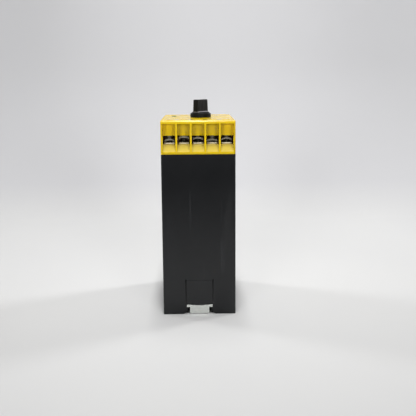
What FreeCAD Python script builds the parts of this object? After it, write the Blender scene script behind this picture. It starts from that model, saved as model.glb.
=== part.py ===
import FreeCAD, Part
import math
import os

from FreeCAD import Vector

# Time delay module that clips on a 35 mm rail. Millimetres.
# X runs along the rail, Y from the first wire side to the second, Z from the rail to the front.
# The origin is under the middle of the module, on the plane of its feet.

# Whole module
MODULE_WIDTH = 45.0
MODULE_DEPTH = 75.0
HOUSING_HEIGHT = 100.2
COVER_HEIGHT = 20.1
HOUSING_WALL = 1.8
CORNER_RADIUS = 0.8
FIT_GAP = 0.1

# Rail seat in the bottom of the housing
RAIL_WIDTH = 35.0
RAIL_FLANGE = 1.0
RAIL_PLAY = 0.2
RAIL_GRIP = 2.0
RAIL_SEAT_HEIGHT = 7.3
FLOOR_THICKNESS = 2.7
HOOK_THICKNESS = 2.6
FLANGE_GAP = 0.3

# Sprung rail latch, a bent steel strip
LATCH_WIDTH = 16.2
LATCH_THICKNESS = 1.7
LATCH_TAB_WIDTH = 12.2
LATCH_TAB_CLEARANCE = 0.4
LATCH_SETBACK = 0.2
LATCH_SCALLOP = 0.45
LATCH_NOSE_CHAMFER = 0.9
LATCH_LEDGE = 0.95
LATCH_WINDOW_WIDTH = 4.7
SLOT_MOUTH_DEPTH = 2.3
SLOT_MOUTH_FLARE = 2.0
SLOT_MOUTH_FLARE_HEIGHT = 0.85
SLOT_SIDE_WALL = 1.5

# Latch spring and the peg that it pushes on
SPRING_LENGTH = 7.4
SPRING_RADIUS = 1.5
SPRING_WIRE_RADIUS = 0.22
SPRING_TURNS = 5
SPRING_STEPS = 10
SPRING_WIRE_SIDES = 5
SPRING_ROOM = 0.3
PEG_SETBACK = 4.5
PEG_THICKNESS = 1.6
PEG_REACH = 0.9

# Tongue outlined by grooves over the latch
TONGUE_WIDTH = 16.8
TONGUE_TOP = 22.0
TONGUE_FOOT = 7.0
TONGUE_GROOVE = 0.85
TONGUE_GROOVE_DEPTH = 1.0
TONGUE_GROOVE_FADE = 0.1
TONGUE_LINE = 0.3
TONGUE_LINE_DEPTH = 0.25
TONGUE_PIT_RADIUS = 0.55
TONGUE_PIT_DEPTH = 1.4

# Cover spigot with its two snap beads
SPIGOT_DEPTH = 4.0
SPIGOT_WALL = 1.4
BEAD_LENGTH = 24.0
BEAD_HEIGHT = 0.5
BEAD_RISE = 1.4
BEAD_HALF_WIDTH = 0.6

# Terminal cells in both wire sides of the cover
CELL_COUNT = 5
CELL_SIDE_WALL = 1.35
CELL_RIB = 1.1
SILL_HEIGHT = 1.5
SHELF_HEIGHT = 5.8
SHELF_THICKNESS = 1.5
WINDOW_HEIGHT = 5.0
LIP_THICKNESS = 1.9
RAMP_START = 0.7
RAMP_END = 5.6
RAMP_THICKNESS = 1.3
RECESS_DEPTH = 6.0
OUTER_RECESS_RELIEF = 0.4
APRON_THICKNESS = 1.2
SHAFT_DEPTH = 7.0
SHELF_NOTCH_START = 0.3
INNER_WALL = 1.3
DRIVER_HOLE_RADIUS = 3.0

# Front plate of the cover
COVER_TOP_RADIUS = 0.3
COVER_BEVEL = 0.65
TOP_PLATE = 1.6

# Contact plates with square threaded collar and solder leg
CONTACT_THICKNESS = 0.9
CONTACT_SIDE_GAP = 0.74
CONTACT_SETBACK = 5.8
COLLAR_WALL = 0.6
COLLAR_LENGTH = 2.0
COLLAR_ROOM = 0.2
LEG_WIDTH = 1.2
LEG_THICKNESS = 0.9
CONTACT_END_GAP = 0.2
LEG_STICK_OUT = 1.4

# Arched clamp plates
CLAMP_SIDE_GAP = 0.69
CLAMP_LENGTH = 6.5
CLAMP_THICKNESS = 0.95
CLAMP_ARCH_RADIUS = 6.3
CLAMP_HOLE_ROOM = 0.15
CLAMP_REST_GAP = 0.05

# Terminal screws
SCREW_RADIUS = 1.5
SCREW_SIDES = 12
SCREW_RUNNING_GAP = 0.05
SCREW_LENGTH = 6.3
HEAD_RADIUS = 2.75
HEAD_HEIGHT = 2.0
HEAD_GAP = 0.03
DRIVE_WIDTH = 0.9
DRIVE_DEPTH = 1.0
LIFTS_FIRST_SIDE = (0.2, 1.7, 1.1, 0.0, 0.8)
LIFTS_SECOND_SIDE = (0.0, 0.0, 0.0, 0.0, 0.0)

# Setting knob, its potentiometer and their axis
KNOB_X = 1.95
KNOB_Y = 0.0
KNOB_FACE_GAP = 0.2
KNOB_SKIRT_RADIUS = 6.65
KNOB_SKIRT_HEIGHT = 2.4
KNOB_SKIRT_EDGE = 0.4
KNOB_CONE_RADIUS = 5.0
KNOB_CONE_HEIGHT = 3.4
KNOB_BAR_LENGTH = 10.8
KNOB_BAR_THICKNESS = 4.4
KNOB_BAR_TAPER = 0.2
KNOB_BAR_CORNER = 0.7
KNOB_BAR_EDGE = 0.6
KNOB_HEIGHT = 11.25
KNOB_POINTING = 231.0
KNOB_ROOF = 0.5
POINTER_WIDTH = 0.8
POINTER_DEPTH = 0.25
SHAFT_RADIUS = 2.0
SHAFT_FLAT = 1.0
SHAFT_RUNNING_GAP = 0.05
SHAFT_HOLE_ROOM = 0.5
POT_SIZE = 12.0
POT_HEIGHT = 6.5
POT_BUSH_RADIUS = 3.5
POT_BUSH_HEIGHT = 4.5
POT_FLOOR = 1.0

# Status lamp on its spacer
LAMP_MARGIN = 6.9
LAMP_Y = 14.0
LAMP_RADIUS = 1.45
LAMP_FLANGE_RADIUS = 1.9
LAMP_FLANGE = 1.0
LAMP_RISE = 0.5
LAMP_BEVEL = 0.4
LAMP_HOLE_ROOM = 0.1
SPACER_SIZE = 4.4
SPACER_BORE = 2.4

# Circuit boards
BOARD_THICKNESS = 1.6
BOARD_EDGE_GAP = 0.25
MAIN_BOARD_MARGIN = 8.9
GUIDE_RIB = 1.2
GUIDE_REACH = 2.2
GUIDE_TOP_GAP = 1.2
HEADER_LENGTH = 30.0
HEADER_SIZE = 2.5

# Parts on the main board: distance from its middle line, height over the housing floor
RELAY_SIZE = (25.5, 28.6, 12.8)
RELAY_PLACES = ((-17.0, 20.0), (-17.0, 38.0))
CAPACITOR_RADIUS = 6.25
CAPACITOR_LENGTH = 25.0
CAPACITOR_PLACE = (16.0, 22.0)
FILM_CAPACITOR_SIZE = (13.0, 18.0, 7.0)
FILM_CAPACITOR_PLACE = (16.0, 42.0)
CHIP_SIZE = (3.4, 6.4, 19.4)
CHIP_PLACE = (-22.0, 64.0)
CHIP_NOTCH = 1.2
ROW_PITCH = 5.0
RESISTOR_SIZE = (0.6, 3.2, 1.6)
RESISTOR_COUNT = 6
RESISTOR_PLACE = (-4.0, 64.0)
DIODE_SIZE = (2.3, 4.4, 3.6)
DIODE_COUNT = 4
DIODE_PLACE = (16.0, 64.0)

# Levels and places worked out from the sizes above
HALF_WIDTH = MODULE_WIDTH / 2
HALF_DEPTH = MODULE_DEPTH / 2
ROOM_X = HALF_WIDTH - HOUSING_WALL
ROOM_Y = HALF_DEPTH - HOUSING_WALL
FLOOR = RAIL_SEAT_HEIGHT + FLOOR_THICKNESS
RAIL_WALL = RAIL_WIDTH / 2 + RAIL_PLAY
LATCH_TOP = RAIL_SEAT_HEIGHT - RAIL_FLANGE - FLANGE_GAP
LATCH_BOTTOM = LATCH_TOP - LATCH_THICKNESS
LATCH_FRONT = -HALF_DEPTH + LATCH_SETBACK
LATCH_NOSE = -RAIL_WALL + RAIL_GRIP
PEG_FRONT = -HALF_DEPTH + PEG_SETBACK
PEG_BACK = PEG_FRONT + PEG_THICKNESS
SPRING_END = PEG_BACK + SPRING_LENGTH
SPRING_LEVEL = (LATCH_TOP + LATCH_BOTTOM) / 2

COVER_BASE = HOUSING_HEIGHT
COVER_TOP = COVER_BASE + COVER_HEIGHT
SILL_TOP = COVER_BASE + SILL_HEIGHT
SHELF_TOP = COVER_BASE + SHELF_HEIGHT
SHELF_BOTTOM = SHELF_TOP - SHELF_THICKNESS
WINDOW_TOP = SHELF_TOP + WINDOW_HEIGHT
CELL_TOP = COVER_TOP - LIP_THICKNESS
SPIGOT_X = ROOM_X - FIT_GAP
SPIGOT_Y = ROOM_Y - FIT_GAP
SPIGOT_BOTTOM = COVER_BASE - SPIGOT_DEPTH
INSIDE_X = SPIGOT_X - SPIGOT_WALL
INSIDE_Y = SPIGOT_Y - SPIGOT_WALL
BEAD_LEVEL = SPIGOT_BOTTOM + BEAD_RISE
CELL_WIDTH = (MODULE_WIDTH - 2 * CELL_SIDE_WALL - (CELL_COUNT - 1) * CELL_RIB) / CELL_COUNT
CELL_PITCH = CELL_WIDTH + CELL_RIB
CELL_CENTRES = [(i - (CELL_COUNT - 1) / 2) * CELL_PITCH for i in range(CELL_COUNT)]
SHAFT_FRONT = RECESS_DEPTH + APRON_THICKNESS
SHAFT_BACK = SHAFT_FRONT + SHAFT_DEPTH
SCREW_SETBACK = SHAFT_FRONT + SHAFT_DEPTH / 2
INNER_FACE = SHAFT_BACK + INNER_WALL

CONTACT_WIDTH = CELL_WIDTH - 2 * CONTACT_SIDE_GAP
CONTACT_TOP = SHELF_TOP + CONTACT_THICKNESS
CONTACT_END = SHAFT_BACK - CONTACT_END_GAP
COLLAR_BORE = SCREW_RADIUS + SCREW_RUNNING_GAP
COLLAR_HALF = COLLAR_BORE + COLLAR_WALL
CLAMP_WIDTH = CELL_WIDTH - 2 * CLAMP_SIDE_GAP
CLAMP_INNER_RADIUS = CLAMP_ARCH_RADIUS - CLAMP_THICKNESS
CLAMP_FOOT_DROP = CLAMP_ARCH_RADIUS - math.sqrt(CLAMP_INNER_RADIUS**2 - (CLAMP_WIDTH / 2) ** 2)
CROWN = CONTACT_TOP + CLAMP_REST_GAP + CLAMP_FOOT_DROP

BOARD_TOP = SILL_TOP
BOARD_BOTTOM = BOARD_TOP - BOARD_THICKNESS
BOARD_HALF_X = INSIDE_X - BOARD_EDGE_GAP
BOARD_HALF_Y = INSIDE_Y - BOARD_EDGE_GAP
MAIN_BOARD_X = -HALF_WIDTH + MAIN_BOARD_MARGIN
MAIN_BOARD_FACE = MAIN_BOARD_X + BOARD_THICKNESS
MAIN_BOARD_STEP = SPIGOT_BOTTOM - GUIDE_TOP_GAP
MAIN_BOARD_HALF_Y = ROOM_Y - BOARD_EDGE_GAP

KNOB_BASE = COVER_TOP + KNOB_FACE_GAP
SHAFT_TOP = KNOB_BASE + KNOB_CONE_HEIGHT - KNOB_ROOF
POT_TOP = BOARD_TOP + POT_HEIGHT
BUSH_TOP = POT_TOP + POT_BUSH_HEIGHT
PLATE_UNDERSIDE = COVER_TOP - TOP_PLATE
LAMP_X = -HALF_WIDTH + LAMP_MARGIN
LAMP_SEAT = PLATE_UNDERSIDE - LAMP_FLANGE

UP = Vector(0, 0, 1)
ALONG_Y = Vector(0, 1, 0)
ALONG_X = Vector(1, 0, 0)
OVERSHOOT = 1.0


def block(x0, x1, y0, y1, z0, z1):
    """A block between two corners."""
    return Part.makeBox(x1 - x0, y1 - y0, z1 - z0, Vector(x0, y0, z0))


def rod(radius, z0, z1, x=0.0, y=0.0):
    """An upright cylinder."""
    return Part.makeCylinder(radius, z1 - z0, Vector(x, y, z0))


def shank_prism(radius, z0, z1, x, y):
    """An upright prism with its corners on a circle, in place of the screws' threads."""
    corners = [2 * math.pi * i / SCREW_SIDES for i in range(SCREW_SIDES)]
    points = [Vector(x + radius * math.cos(a), y + radius * math.sin(a), z0) for a in corners]
    return swept(points, Vector(0, 0, z1 - z0))


def shank_bore(radius, z0, z1, x, y):
    """A hole round a shank prism, with its flat sides on a circle."""
    return shank_prism(radius / math.cos(math.pi / SCREW_SIDES), z0, z1, x, y)


def rounded_block(half_x, half_y, z0, z1, radius):
    """An upright block about the Z axis with rounded corners."""
    solid = block(-half_x, half_x, -half_y, half_y, z0, z1)
    upright = [e for e in solid.Edges if abs(e.tangentAt(e.FirstParameter).z) > 0.9]
    return solid.makeFillet(radius, upright)


def swept(points, sweep):
    """A flat outline swept along a vector."""
    face = Part.Face(Part.makePolygon(points + points[:1]))
    return face.extrude(sweep)


def prism_x(outline, x0, x1):
    """A (y, z) outline swept along X."""
    return swept([Vector(x0, y, z) for y, z in outline], Vector(x1 - x0, 0, 0))


def prism_y(outline, y0, y1):
    """An (x, z) outline swept along Y."""
    return swept([Vector(x, y0, z) for x, z in outline], Vector(0, y1 - y0, 0))


def turned(outline, x=0.0, y=0.0):
    """A (radius, z) outline turned about an upright axis."""
    points = [Vector(x + r, y, z) for r, z in outline]
    face = Part.Face(Part.makePolygon(points + points[:1]))
    return face.revolve(Vector(x, y, 0), UP, 360)


def at_first_side(outline):
    """Points given as (distance behind the first wire side, z) in the frame's (y, z)."""
    return [(depth - HALF_DEPTH, z) for depth, z in outline]


def opposite(shape):
    """The same shape on the other wire side."""
    copy = shape.copy()
    copy.rotate(Vector(0, 0, 0), UP, 180)
    return copy


def on_both_sides(shapes):
    """Shapes of the first wire side with their twins on the second."""
    return shapes + [opposite(shape) for shape in shapes]


def joined(first, others):
    """One solid from touching shapes."""
    return first.fuse(others).removeSplitter()


def rail_channel():
    """Room for the rail, with the fixed hook's undercut on the second wire side."""
    hook_edge = RAIL_WALL - RAIL_GRIP
    hook_bottom = LATCH_TOP - HOOK_THICKNESS
    outline = [
        (-RAIL_WALL, -OVERSHOOT),
        (RAIL_WALL, -OVERSHOOT),
        (RAIL_WALL, hook_bottom - RAIL_GRIP),
        (hook_edge, hook_bottom),
        (hook_edge, LATCH_TOP),
        (RAIL_WALL, LATCH_TOP),
        (RAIL_WALL, RAIL_SEAT_HEIGHT),
        (-RAIL_WALL, RAIL_SEAT_HEIGHT),
    ]
    return prism_x(outline, -HALF_WIDTH - OVERSHOOT, HALF_WIDTH + OVERSHOOT)


def latch_slot():
    """The T-shaped slot that guides the latch, with its wider mouth and the spring's trough over it."""
    wide = LATCH_WIDTH / 2 + FIT_GAP
    narrow = wide - LATCH_LEDGE
    front = -HALF_DEPTH - OVERSHOOT
    back = -RAIL_WALL + OVERSHOOT
    floor = LATCH_BOTTOM - FIT_GAP
    top = LATCH_TOP + FIT_GAP
    outline = [
        (-narrow, -OVERSHOOT),
        (narrow, -OVERSHOOT),
        (narrow, floor),
        (wide, floor),
        (wide, top),
        (-wide, top),
        (-wide, floor),
        (-narrow, floor),
    ]
    flare = wide + SLOT_MOUTH_FLARE
    mouth_outline = [
        (-flare, -OVERSHOOT),
        (flare, -OVERSHOOT),
        (flare, 0),
        (wide, SLOT_MOUTH_FLARE_HEIGHT),
        (wide, top),
        (-wide, top),
        (-wide, SLOT_MOUTH_FLARE_HEIGHT),
        (-flare, 0),
    ]
    mouth = prism_y(mouth_outline, front, -HALF_DEPTH + SLOT_MOUTH_DEPTH)
    trough_radius = SPRING_RADIUS + SPRING_WIRE_RADIUS + SPRING_ROOM
    trough = Part.makeCylinder(
        trough_radius, SPRING_END - PEG_BACK, Vector(0, PEG_BACK, SPRING_LEVEL), ALONG_Y
    )
    return prism_y(outline, front, back).fuse([mouth, trough])


def spring_peg():
    """The peg that hangs into the latch's window and takes the spring's push."""
    half = (LATCH_WINDOW_WIDTH - 2 * FIT_GAP) / 2 - FIT_GAP
    return block(
        -half, half, PEG_FRONT, PEG_BACK, LATCH_BOTTOM - PEG_REACH, LATCH_TOP + 2 * FIT_GAP
    )


def foot_pockets():
    """Hollows in both feet, beside the latch slot on the first side and along the whole second."""
    slot_wall = LATCH_WIDTH / 2 + FIT_GAP + SLOT_SIDE_WALL
    inner = RAIL_WALL + HOUSING_WALL
    top = FLOOR + OVERSHOOT
    return [
        block(slot_wall, ROOM_X, -ROOM_Y, -inner, HOUSING_WALL, top),
        block(-ROOM_X, -slot_wall, -ROOM_Y, -inner, HOUSING_WALL, top),
        block(-ROOM_X, ROOM_X, inner, ROOM_Y, HOUSING_WALL, top),
    ]


def tongue_grooves():
    """Tapered grooves, a fine line and two pits that outline the tongue over the latch."""
    face = -HALF_DEPTH
    outline = [
        (face - OVERSHOOT, TONGUE_FOOT),
        (face + TONGUE_GROOVE_FADE, TONGUE_FOOT),
        (face + TONGUE_GROOVE_DEPTH, TONGUE_TOP),
        (face - OVERSHOOT, TONGUE_TOP),
    ]
    half = TONGUE_WIDTH / 2
    cuts = [
        block(
            -half, half, face - OVERSHOOT, face + TONGUE_LINE_DEPTH, TONGUE_TOP - TONGUE_LINE, TONGUE_TOP
        )
    ]
    for side in (-1, 1):
        middle = side * half
        cuts.append(prism_x(outline, middle - TONGUE_GROOVE / 2, middle + TONGUE_GROOVE / 2))
        pit_start = Vector(middle, face - OVERSHOOT, TONGUE_TOP - TONGUE_LINE / 2)
        cuts.append(
            Part.makeCylinder(TONGUE_PIT_RADIUS, TONGUE_PIT_DEPTH + OVERSHOOT, pit_start, ALONG_Y)
        )
    return cuts


def snap_bead(reach, half_width, half_length, start):
    """A wedge along both long inner walls, at the level of the cover's snap beads."""
    outline = [
        (start, BEAD_LEVEL - half_width),
        (start + reach, BEAD_LEVEL),
        (start, BEAD_LEVEL + half_width),
    ]
    bead = prism_y(outline, -half_length, half_length)
    return [bead, opposite(bead)]


def card_guides():
    """Pairs of ribs on the wire-side walls that hold the main board's edges."""
    guides = []
    rib_places = (MAIN_BOARD_X - FIT_GAP - GUIDE_RIB, MAIN_BOARD_FACE + FIT_GAP)
    for x in rib_places:
        for side in (-1, 1):
            ends = sorted((side * (ROOM_Y + FIT_GAP), side * (ROOM_Y - GUIDE_REACH)))
            guides.append(
                block(x, x + GUIDE_RIB, ends[0], ends[1], HOUSING_WALL - FIT_GAP, MAIN_BOARD_STEP)
            )
    return guides


def housing():
    """The black moulded housing, open to the front."""
    shell = rounded_block(HALF_WIDTH, HALF_DEPTH, 0, HOUSING_HEIGHT, CORNER_RADIUS)
    room = block(-ROOM_X, ROOM_X, -ROOM_Y, ROOM_Y, FLOOR, HOUSING_HEIGHT + OVERSHOOT)
    cuts = [room, rail_channel(), latch_slot()]
    cuts += foot_pockets()
    cuts += tongue_grooves()
    cuts += snap_bead(
        BEAD_HEIGHT + FIT_GAP,
        BEAD_HALF_WIDTH + 2 * FIT_GAP,
        BEAD_LENGTH / 2 + FIT_GAP,
        ROOM_X - FIT_GAP,
    )
    shell = shell.cut(cuts)
    return joined(shell, card_guides() + [spring_peg()])


def rail_latch():
    """Steel strip bent down at the outer end, with a window round the spring."""
    half = LATCH_WIDTH / 2
    tab_back = LATCH_FRONT + LATCH_THICKNESS
    strip = block(-half, half, LATCH_FRONT, LATCH_NOSE, LATCH_BOTTOM, LATCH_TOP)
    tab_half = LATCH_TAB_WIDTH / 2
    tab = block(-tab_half, tab_half, LATCH_FRONT, tab_back, LATCH_TAB_CLEARANCE, LATCH_TOP)
    window_half = LATCH_WINDOW_WIDTH / 2
    window = block(
        -window_half, window_half, PEG_FRONT - FIT_GAP, SPRING_END,
        LATCH_BOTTOM - OVERSHOOT, LATCH_TOP + OVERSHOOT,
    )
    nose = [
        (LATCH_NOSE - LATCH_NOSE_CHAMFER, LATCH_BOTTOM),
        (LATCH_NOSE, LATCH_BOTTOM + LATCH_NOSE_CHAMFER),
        (LATCH_NOSE + OVERSHOOT, LATCH_BOTTOM - OVERSHOOT),
    ]
    scallop_radius = (tab_half**2 + LATCH_SCALLOP**2) / (2 * LATCH_SCALLOP)
    scallop = Part.makeCylinder(
        scallop_radius,
        LATCH_THICKNESS + OVERSHOOT,
        Vector(0, LATCH_FRONT - OVERSHOOT, LATCH_TOP - LATCH_SCALLOP + scallop_radius),
        ALONG_Y,
    )
    latch = joined(strip, [tab])
    return latch.cut([window, prism_x(nose, -half - OVERSHOOT, half + OVERSHOOT), scallop])


def spring_section(turn):
    """The wire's outline, square to the coil, after some turns from the peg."""
    angle = 2 * math.pi * turn
    climb = SPRING_LENGTH - 2 * SPRING_WIRE_RADIUS
    y = PEG_BACK + SPRING_WIRE_RADIUS + climb * turn / SPRING_TURNS
    points = []
    for i in range(SPRING_WIRE_SIDES):
        bend = 2 * math.pi * i / SPRING_WIRE_SIDES
        reach = SPRING_RADIUS + SPRING_WIRE_RADIUS * math.cos(bend)
        points.append(
            Vector(
                reach * math.cos(angle),
                y + SPRING_WIRE_RADIUS * math.sin(bend),
                SPRING_LEVEL + reach * math.sin(angle),
            )
        )
    return Part.makePolygon(points + points[:1])


def latch_spring():
    """Compression spring between the housing's peg and the end of the latch's window."""
    count = SPRING_TURNS * SPRING_STEPS
    sections = [spring_section(i / SPRING_STEPS) for i in range(count + 1)]
    return Part.makeLoft(sections, True, True)


def cell_room(centre):
    """One terminal cell: recess with its ramp, wire window and screwdriver shaft."""
    outline = [
        (-OVERSHOOT, SILL_TOP),
        (RAMP_START, SILL_TOP),
        (RAMP_END, SHELF_TOP),
        (SHAFT_BACK, SHELF_TOP),
        (SHAFT_BACK, CELL_TOP),
        (SHAFT_FRONT, CELL_TOP),
        (SHAFT_FRONT, WINDOW_TOP),
        (RECESS_DEPTH, WINDOW_TOP),
        (RECESS_DEPTH, CELL_TOP),
        (-OVERSHOOT, CELL_TOP),
    ]
    half = CELL_WIDTH / 2
    return prism_x(at_first_side(outline), centre - half, centre + half)


def shelf_notches(centre):
    """Open strips through the shelf on both sides of a contact plate."""
    inner, outer = CONTACT_WIDTH / 2, CELL_WIDTH / 2
    start = RAMP_END + SHELF_NOTCH_START - HALF_DEPTH
    end = SHAFT_BACK - HALF_DEPTH
    low, high = SHELF_BOTTOM - OVERSHOOT, SHELF_TOP + OVERSHOOT
    return [
        block(centre - outer, centre - inner, start, end, low, high),
        block(centre + inner, centre + outer, start, end, low, high),
    ]


def terminal_cut(centre):
    """All that one terminal takes out of the cover on the first wire side."""
    axis_y = SCREW_SETBACK - HALF_DEPTH
    half = COLLAR_HALF + COLLAR_ROOM
    collar_slot = block(
        centre - half, centre + half, axis_y - half, SHAFT_BACK - HALF_DEPTH, BOARD_TOP, SHELF_TOP + OVERSHOOT
    )
    driver_hole = rod(DRIVER_HOLE_RADIUS, CELL_TOP - OVERSHOOT, COVER_TOP + OVERSHOOT, centre, axis_y)
    return [cell_room(centre), collar_slot, driver_hole] + shelf_notches(centre)


def room_under_shelf():
    """The hollow behind the ramps and under the shelves, over the terminal board."""
    slope = (SHELF_TOP - SILL_TOP) / (RAMP_END - RAMP_START)
    drop = RAMP_THICKNESS * math.sqrt(1 + slope**2)
    wall = HALF_DEPTH - INSIDE_Y
    outline = [
        (wall, SILL_TOP - OVERSHOOT),
        (wall, SILL_TOP + (wall - RAMP_START) * slope - drop),
        (RAMP_START + (SHELF_BOTTOM - SILL_TOP + drop) / slope, SHELF_BOTTOM),
        (SHAFT_BACK, SHELF_BOTTOM),
        (SHAFT_BACK, SILL_TOP - OVERSHOOT),
    ]
    return prism_x(at_first_side(outline), -INSIDE_X, INSIDE_X)


def edge_bevel():
    """What the bevel along the front plate's edge takes off on the first wire side."""
    outline = [
        (-OVERSHOOT, COVER_TOP - COVER_BEVEL - OVERSHOOT),
        (COVER_BEVEL + OVERSHOOT, COVER_TOP + OVERSHOOT),
        (-OVERSHOOT, COVER_TOP + OVERSHOOT),
    ]
    return prism_x(at_first_side(outline), -HALF_WIDTH - OVERSHOOT, HALF_WIDTH + OVERSHOOT)


def outer_relief():
    """Room by which the outer cells' recesses reach further into the side walls on the first wire side."""
    half = HALF_WIDTH - CELL_SIDE_WALL
    ends = (-HALF_DEPTH - OVERSHOOT, RECESS_DEPTH - HALF_DEPTH, WINDOW_TOP, CELL_TOP)
    return [
        block(-half - OUTER_RECESS_RELIEF, -half, *ends),
        block(half, half + OUTER_RECESS_RELIEF, *ends),
    ]


def front_cover():
    """The yellow cover: one moulding with ten terminal cells, front plate and spigot."""
    hood = rounded_block(HALF_WIDTH, HALF_DEPTH, COVER_BASE, COVER_TOP, CORNER_RADIUS)
    rim = [e for e in hood.Edges if e.BoundBox.ZMin > COVER_TOP - FIT_GAP]
    hood = hood.makeFillet(COVER_TOP_RADIUS, rim)
    spigot = block(-SPIGOT_X, SPIGOT_X, -SPIGOT_Y, SPIGOT_Y, SPIGOT_BOTTOM, COVER_BASE)
    beads = snap_bead(BEAD_HEIGHT + FIT_GAP, BEAD_HALF_WIDTH, BEAD_LENGTH / 2, SPIGOT_X - FIT_GAP)
    cover = joined(hood, [spigot] + beads)
    board_room = block(-INSIDE_X, INSIDE_X, -INSIDE_Y, INSIDE_Y, SPIGOT_BOTTOM - OVERSHOOT, SILL_TOP)
    middle = HALF_DEPTH - INNER_FACE
    front_room = block(-ROOM_X, ROOM_X, -middle, middle, SILL_TOP, PLATE_UNDERSIDE)
    one_side = [room_under_shelf(), edge_bevel()] + outer_relief()
    for centre in CELL_CENTRES:
        one_side += terminal_cut(centre)
    shaft_hole = rod(
        SHAFT_RADIUS + SHAFT_HOLE_ROOM, PLATE_UNDERSIDE - OVERSHOOT, COVER_TOP + OVERSHOOT, KNOB_X, KNOB_Y
    )
    lamp_hole = rod(
        LAMP_RADIUS + LAMP_HOLE_ROOM, PLATE_UNDERSIDE - OVERSHOOT, COVER_TOP + OVERSHOOT, LAMP_X, LAMP_Y
    )
    cover = cover.cut([board_room, front_room, shaft_hole, lamp_hole] + on_both_sides(one_side))
    return cover.removeSplitter()


def contact_plate(centre):
    """Tinned contact plate with a square threaded collar under it and a leg to the terminal board."""
    half = CONTACT_WIDTH / 2
    axis_y = SCREW_SETBACK - HALF_DEPTH
    end = CONTACT_END - HALF_DEPTH
    plate = block(
        centre - half, centre + half, CONTACT_SETBACK - HALF_DEPTH, end, SHELF_TOP, CONTACT_TOP
    )
    collar = block(
        centre - COLLAR_HALF,
        centre + COLLAR_HALF,
        axis_y - COLLAR_HALF,
        axis_y + COLLAR_HALF,
        SHELF_TOP - COLLAR_LENGTH,
        SHELF_TOP,
    )
    leg = block(
        centre - LEG_WIDTH / 2,
        centre + LEG_WIDTH / 2,
        end - LEG_THICKNESS,
        end,
        BOARD_BOTTOM - LEG_STICK_OUT,
        SHELF_TOP,
    )
    bore = shank_bore(COLLAR_BORE, SHELF_TOP - COLLAR_LENGTH, CONTACT_TOP, centre, axis_y)
    return joined(plate, [collar, leg]).cut(bore)


def clamp_plate(centre, lift):
    """Arched plate with a square hole that presses the wire on the contact and rises with its screw."""
    axis_y = SCREW_SETBACK - HALF_DEPTH
    y0 = axis_y - CLAMP_LENGTH / 2
    crown = CROWN + lift
    axis_z = crown - CLAMP_ARCH_RADIUS
    start = Vector(centre, y0, axis_z)
    outer = Part.makeCylinder(CLAMP_ARCH_RADIUS, CLAMP_LENGTH, start, ALONG_Y)
    inner = Part.makeCylinder(CLAMP_INNER_RADIUS, CLAMP_LENGTH, start, ALONG_Y)
    half = CLAMP_WIDTH / 2
    reach = block(
        centre - half, centre + half, y0, y0 + CLAMP_LENGTH, crown - CLAMP_FOOT_DROP, crown + OVERSHOOT
    )
    room = SCREW_RADIUS + CLAMP_HOLE_ROOM
    hole = block(
        centre - room, centre + room, axis_y - room, axis_y + room, crown - CLAMP_FOOT_DROP, crown + OVERSHOOT
    )
    return outer.cut(inner).common(reach).cut(hole)


def terminal_screw(centre, lift):
    """Slotted cheese-head screw; its thread is left plain."""
    axis_y = SCREW_SETBACK - HALF_DEPTH
    seat = CROWN + lift + HEAD_GAP
    top = seat + HEAD_HEIGHT
    shank = shank_prism(SCREW_RADIUS, seat - SCREW_LENGTH, seat, centre, axis_y)
    head = rod(HEAD_RADIUS, seat, top, centre, axis_y)
    half = DRIVE_WIDTH / 2
    slot = block(
        centre - HEAD_RADIUS, centre + HEAD_RADIUS, axis_y - half, axis_y + half, top - DRIVE_DEPTH, top
    )
    return joined(shank, [head]).cut(slot)


def shaft_section(radius, flat, z0, z1):
    """A round length of the knob's axis with a flat along one side."""
    solid = rod(radius, z0, z1, KNOB_X, KNOB_Y)
    flat_x = KNOB_X + radius - flat
    cut = block(flat_x, KNOB_X + radius, KNOB_Y - radius, KNOB_Y + radius, z0, z1)
    return solid.cut(cut)


def knob_bar():
    """The tapered grip bar, pointing along its own X before it is turned."""
    top = KNOB_BASE + KNOB_HEIGHT
    height = KNOB_HEIGHT - KNOB_SKIRT_HEIGHT
    half_l = KNOB_BAR_LENGTH / 2
    half_t = KNOB_BAR_THICKNESS / 2
    top_l = half_l - KNOB_BAR_TAPER
    top_t = half_t - KNOB_BAR_TAPER
    bar = Part.makeWedge(-half_l, 0, -half_t, -top_t, -top_l, half_l, height, half_t, top_t, top_l)
    bar.rotate(Vector(0, 0, 0), ALONG_X, 90)
    bar.translate(Vector(0, 0, top - height))
    upright = [e for e in bar.Edges if e.BoundBox.ZLength > height / 2]
    bar = bar.makeFillet(KNOB_BAR_CORNER, upright)
    rim = [e for e in bar.Edges if e.BoundBox.ZMin > top - height / 2]
    bar = bar.makeChamfer(KNOB_BAR_EDGE, rim)
    half_pointer = POINTER_WIDTH / 2
    pointer = block(0, KNOB_BAR_LENGTH, -half_pointer, half_pointer, top - POINTER_DEPTH, top)
    return bar.cut(pointer)


def knob():
    """Setting knob: round skirt, low cone and grip bar, bored for the shaft."""
    skirt_top = KNOB_BASE + KNOB_SKIRT_HEIGHT
    outline = [
        (0, KNOB_BASE),
        (KNOB_SKIRT_RADIUS, KNOB_BASE),
        (KNOB_SKIRT_RADIUS, skirt_top - KNOB_SKIRT_EDGE),
        (KNOB_SKIRT_RADIUS - KNOB_SKIRT_EDGE, skirt_top),
        (KNOB_CONE_RADIUS, KNOB_BASE + KNOB_CONE_HEIGHT),
        (0, KNOB_BASE + KNOB_CONE_HEIGHT),
    ]
    bar = knob_bar()
    bar.rotate(Vector(0, 0, 0), UP, KNOB_POINTING)
    bar.translate(Vector(KNOB_X, KNOB_Y, 0))
    body = joined(turned(outline, KNOB_X, KNOB_Y), [bar])
    return body.cut(shaft_section(SHAFT_RADIUS + SHAFT_RUNNING_GAP, SHAFT_FLAT, KNOB_BASE, SHAFT_TOP))


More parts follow.
